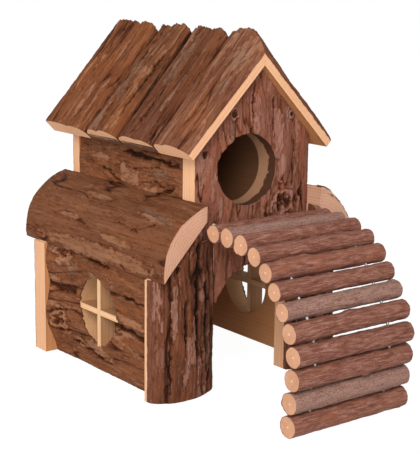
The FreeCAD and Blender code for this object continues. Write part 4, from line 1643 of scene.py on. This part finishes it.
def wire_nodes() -> NodeModifier:
    """Return the tree that makes a run of wire on each side, with a bend where it starts."""
    nodes = NodeModifier("wire_run")
    nodes.declare(Start="Vector", End="Vector", Radius="Float", Spread="Float", Metal="Material")
    line = nodes.add("GeometryNodeCurvePrimitiveLine",
                     {"Start": nodes.given("Start"), "End": nodes.given("End")})
    ring = nodes.add("GeometryNodeCurvePrimitiveCircle",
                     {"Resolution": WIRE_SIDES, "Radius": nodes.given("Radius") * TUBE_SHARE})
    tube = nodes.add("GeometryNodeCurveToMesh",
                     {"Curve": line, "Profile Curve": ring, "Fill Caps": True})
    ball = nodes.add("GeometryNodeMeshIcoSphere",
                     {"Radius": nodes.given("Radius"), "Subdivisions": BALL_LEVELS})
    dots = nodes.add("GeometryNodeMeshLine", {"Count": 1, "Start Location": nodes.given("Start")})
    balls = nodes.add("GeometryNodeInstanceOnPoints", {"Points": dots, "Instance": ball})
    both = nodes.add("GeometryNodeJoinGeometry")
    for part in (tube, balls):
        nodes.group.links.new(part.outputs[0], both.inputs[0])
    pair = nodes.add("GeometryNodeJoinGeometry")
    for sign in (-1.0, 1.0):
        aside = nodes.add("ShaderNodeCombineXYZ", {0: nodes.given("Spread") * sign})
        moved = nodes.add("GeometryNodeTransform", {0: both, "Translation": aside})
        nodes.group.links.new(moved.outputs[0], pair.inputs[0])
    smooth = nodes.add("GeometryNodeSetShadeSmooth", {0: pair})
    real = nodes.add("GeometryNodeRealizeInstances", {0: smooth})
    nodes.add("NodeGroupOutput",
              {0: nodes.add("GeometryNodeSetMaterial",
                            {0: real, "Material": nodes.given("Metal")})})
    return nodes


@dataclass
class Ladder:
    """The landing and ladder: round sticks on two wires, in millimetres as in part.py."""

    palette: Palette
    half: float = 38.3
    middle_x: float = -2.2
    sticks: tuple = ((4.75, 0.0), (5.05, 2.0), (5.3, 14.0), (4.85, 27.0), (4.95, 44.0),
                     (4.75, 56.0), (4.75, 54.0),
                     (5.15, 64.0), (5.3, 82.0), (5.5, 102.0), (5.5, 91.0), (5.6, 96.0))
    finishes: tuple = ((0.2, 0.1), (0.62, 0.1), (0.32, 0.15), (0.4, 0.2), (0.25, 0.5), (0.3, 0.15),
                       (0.6, 0.1),
                       (0.28, 0.2), (0.42, 0.15), (0.3, 0.42), (0.66, 0.15), (0.3, 0.5))
    landing: int = 3
    gap: float = 0.9
    start_y: float = -13.0
    floor_clear: float = 0.3
    wire_x: float = 25.0
    wire_r: float = 0.8
    stick_share: float = 0.98
    sway: float = 0.9
    first_seed: float = 1.7
    seed_step: float = 2.3
    anchor_y: float = 6.0

    def bends(self) -> list[Point2]:
        """Return the wire's bends as part.py finds them, before and after each stick."""
        fall = 0.0
        for radius, angle in self.sticks[:-1]:
            fall += (2 * radius + self.gap) * math.sin(math.radians(angle))
        radius, angle = self.sticks[-1]
        fall += (radius + self.gap / 2) * math.sin(math.radians(angle))
        points = [(self.start_y, self.floor_clear + radius + fall)]
        for radius, angle in self.sticks:
            step, turn = 2 * radius + self.gap, math.radians(angle)
            y, z = points[-1]
            points.append((y - step * math.cos(turn), z - step * math.sin(turn)))
        return points

    def spot(self, place: Point2) -> Point3:
        """Return a (y, z) place on the ladder's middle line, in metres."""
        return (self.middle_x * MM, (place[0] + SHIFT_Y) * MM, place[1] * MM)

    def node(self, index: int, part: str) -> tuple[str, str]:
        """Return the CAD node and the body of a stick or of its wires."""
        if index < self.landing:
            return (f"landing_stick_{index + 1}" if part == "stick" else "landing_wires"), "house"
        number = index + 1 - self.landing
        return f"ladder_{part}_{number}", f"step_{number}"

    def build(self) -> None:
        """Build the sticks and the wires."""
        points = self.bends()
        stick_tree = stick_nodes()
        wire_tree = wire_nodes()
        for index, ((radius, _), (grey, ochre)) in enumerate(zip(self.sticks, self.finishes)):
            (ya, za), (yb, zb) = points[index], points[index + 1]
            name, body = self.node(index, "stick")
            mesh = stick_tree.run(name, Radius=radius * MM * self.stick_share,
                                  Half_length=self.half * MM, Bend=self.sway * MM,
                                  Seed=self.first_seed + self.seed_step * index,
                                  Finish=(grey, ochre, radius * MM),
                                  Place=self.spot(((ya + yb) / 2, (za + zb) / 2)),
                                  Bark=self.palette.stick, End=self.palette.stick_end)
            settle(new_piece(name + "_round", mesh), [name], body, "stick_wood")
        route = [(self.anchor_y, points[0][1])] + points[1:]
        landing = []
        for index, (start, end) in enumerate(zip(route, route[1:])):
            name, body = self.node(index, "wires")
            if index == len(self.sticks) - 1:
                end = ((start[0] + end[0]) / 2, (start[1] + end[1]) / 2)
            mesh = wire_tree.run(name, Start=self.spot(start), End=self.spot(end),
                                 Radius=self.wire_r * MM,
                                 Spread=self.wire_x * MM, Metal=self.palette.wire)
            if index < self.landing:
                landing.append(mesh)
            else:
                settle(new_piece(name + "_bent", mesh), [name], body, "wire")
        settle(new_piece("landing_wires_bent", joined("landing_wires", landing)), ["landing_wires"],
               "house", "wire")


def joined(name: str, meshes: Sequence[Mesh]) -> Mesh:
    """Return several meshes of one material as one."""
    work = bmesh.new()
    for mesh in meshes:
        work.from_mesh(mesh)
    result = bpy.data.meshes.new(name)
    work.to_mesh(result)
    work.free()
    result.materials.append(meshes[0].materials[0])
    for mesh in meshes:
        bpy.data.meshes.remove(mesh)
    return result


@dataclass
class Studio:
    """The floor, the lamps and the camera."""

    camera_place: Point3 = (-0.4027, -0.5070, 0.2185)
    yaw: float = 37.62
    pitch: float = 11.94
    roll: float = -0.75
    lens: float = 96.3
    sensor: float = 36.0
    floor_half: float = 3.0
    sky: float = 0.46
    floor_grey: float = 0.86
    floor_glow: float = 1.1
    floor_share: float = 0.88
    aim: Point3 = (0.0, 0.0, 0.08)
    lamps: tuple = (("key", (-0.85, -0.85, 0.8), 0.7, 14.0), ("low", (-0.9, -0.6, 0.12), 0.6, 3.5))

    def camera(self) -> None:
        """Set the camera at the photograph's angle."""
        a, e, r = (math.radians(v) for v in (self.yaw, self.pitch, self.roll))
        forward = Vector((math.sin(a) * math.cos(e), math.cos(a) * math.cos(e), -math.sin(e)))
        right = Vector((math.cos(a), -math.sin(a), 0.0))
        down = forward.cross(right)
        turned = right * math.cos(r) + down * math.sin(r)
        below = down * math.cos(r) - right * math.sin(r)
        data = bpy.data.cameras.new("camera")
        data.sensor_width = self.sensor
        data.lens = self.lens
        data.clip_start = 0.01
        camera = bpy.data.objects.new("camera", data)
        matrix = Matrix((turned, -below, -forward)).transposed().to_4x4()
        matrix.translation = Vector(self.camera_place)
        camera.matrix_world = matrix
        bpy.context.scene.collection.objects.link(camera)
        bpy.context.scene.camera = camera

    @staticmethod
    def seen_by(tree: Tree, *rays: str) -> Quantity:
        """Return 1 for rays of the named kinds and 0 for the others."""
        path = tree.add("ShaderNodeLightPath")
        seen = Quantity(tree, path.outputs[f"Is {rays[0]} Ray"])
        for ray in rays[1:]:
            seen = seen.greatest(Quantity(tree, path.outputs[f"Is {ray} Ray"]))
        return seen

    def floor(self) -> None:
        """Lay the pale floor, which is white to the camera but keeps the shadow."""
        half = self.floor_half
        mesh = bpy.data.meshes.new("floor")
        corners = [(-half, -half, 0.0), (half, -half, 0.0), (half, half, 0.0), (-half, half, 0.0)]
        mesh.from_pydata(corners, [], [(0, 1, 2, 3)])
        material, tree = new_material("floor_white")
        seen = self.seen_by(tree, "Camera", "Glossy")
        matt = tree.add("ShaderNodeBsdfDiffuse", {"Color": (*[self.floor_grey] * 3, 1.0)})
        glow = tree.add("ShaderNodeEmission",
                        {"Color": (1.0, 1.0, 1.0, 1.0), "Strength": self.floor_glow})
        mixed = tree.add("ShaderNodeMixShader", {0: seen * self.floor_share, 1: matt, 2: glow})
        tree.add("ShaderNodeOutputMaterial", {"Surface": mixed})
        mesh.materials.append(material)
        new_piece("floor", mesh)

    def lamp(self, name: str, place: Point3, size: float, power: float) -> None:
        """Hang a square soft lamp that faces the house."""
        data = bpy.data.lights.new(name, "AREA")
        data.size = size
        data.energy = power
        lamp = bpy.data.objects.new(name, data)
        lamp.location = place
        aim = Vector(self.aim) - Vector(place)
        lamp.rotation_euler = aim.to_track_quat("-Z", "Y").to_euler()
        bpy.context.scene.collection.objects.link(lamp)

    def sky_light(self) -> None:
        """Make the world an even soft light that is white to the camera."""
        world = bpy.data.worlds.new("studio")
        bpy.context.scene.world = world
        world.use_nodes = True
        world.node_tree.nodes.clear()
        tree = Tree(world.node_tree)
        seen = self.seen_by(tree, "Camera", "Glossy", "Transmission")
        glow = tree.add("ShaderNodeBackground", {"Color": (1.0, 1.0, 1.0, 1.0),
                                                 "Strength": seen * (1.0 - self.sky) + self.sky})
        tree.add("ShaderNodeOutputWorld", {"Surface": glow})

    def build(self) -> None:
        """Set up the studio."""
        bpy.context.scene.view_settings.view_transform = "Standard"
        self.camera()
        self.floor()
        self.sky_light()
        for lamp in self.lamps:
            self.lamp(*lamp)


def main() -> None:
    """Build the house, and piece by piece."""
    logging.basicConfig(level=logging.INFO, format="%(message)s")
    palette = Palette()
    tower = Tower(palette)
    tower.build()
    MainRoof(palette, tower).build()
    left_line = ((-66.4, 0.2), (-60.2, -5.7), (-48.5, -8.0), (-35.5, -5.8), (-26.4, -0.9))
    right_line = ((-66.4, 6.6), (-57.5, -1.0), (-45.0, -4.4), (-34.5, -3.0), (-26.4, 0.2))
    Annex(palette, Side.LEFT, tower, left_line, 4.6, (59.0, 33.8), 100).build()
    Annex(palette, Side.RIGHT, tower, right_line, 10.8, (62.9, 34.4), 200).build()
    Ladder(palette).build()
    Studio().build()


if __name__ == "__main__":
    main()
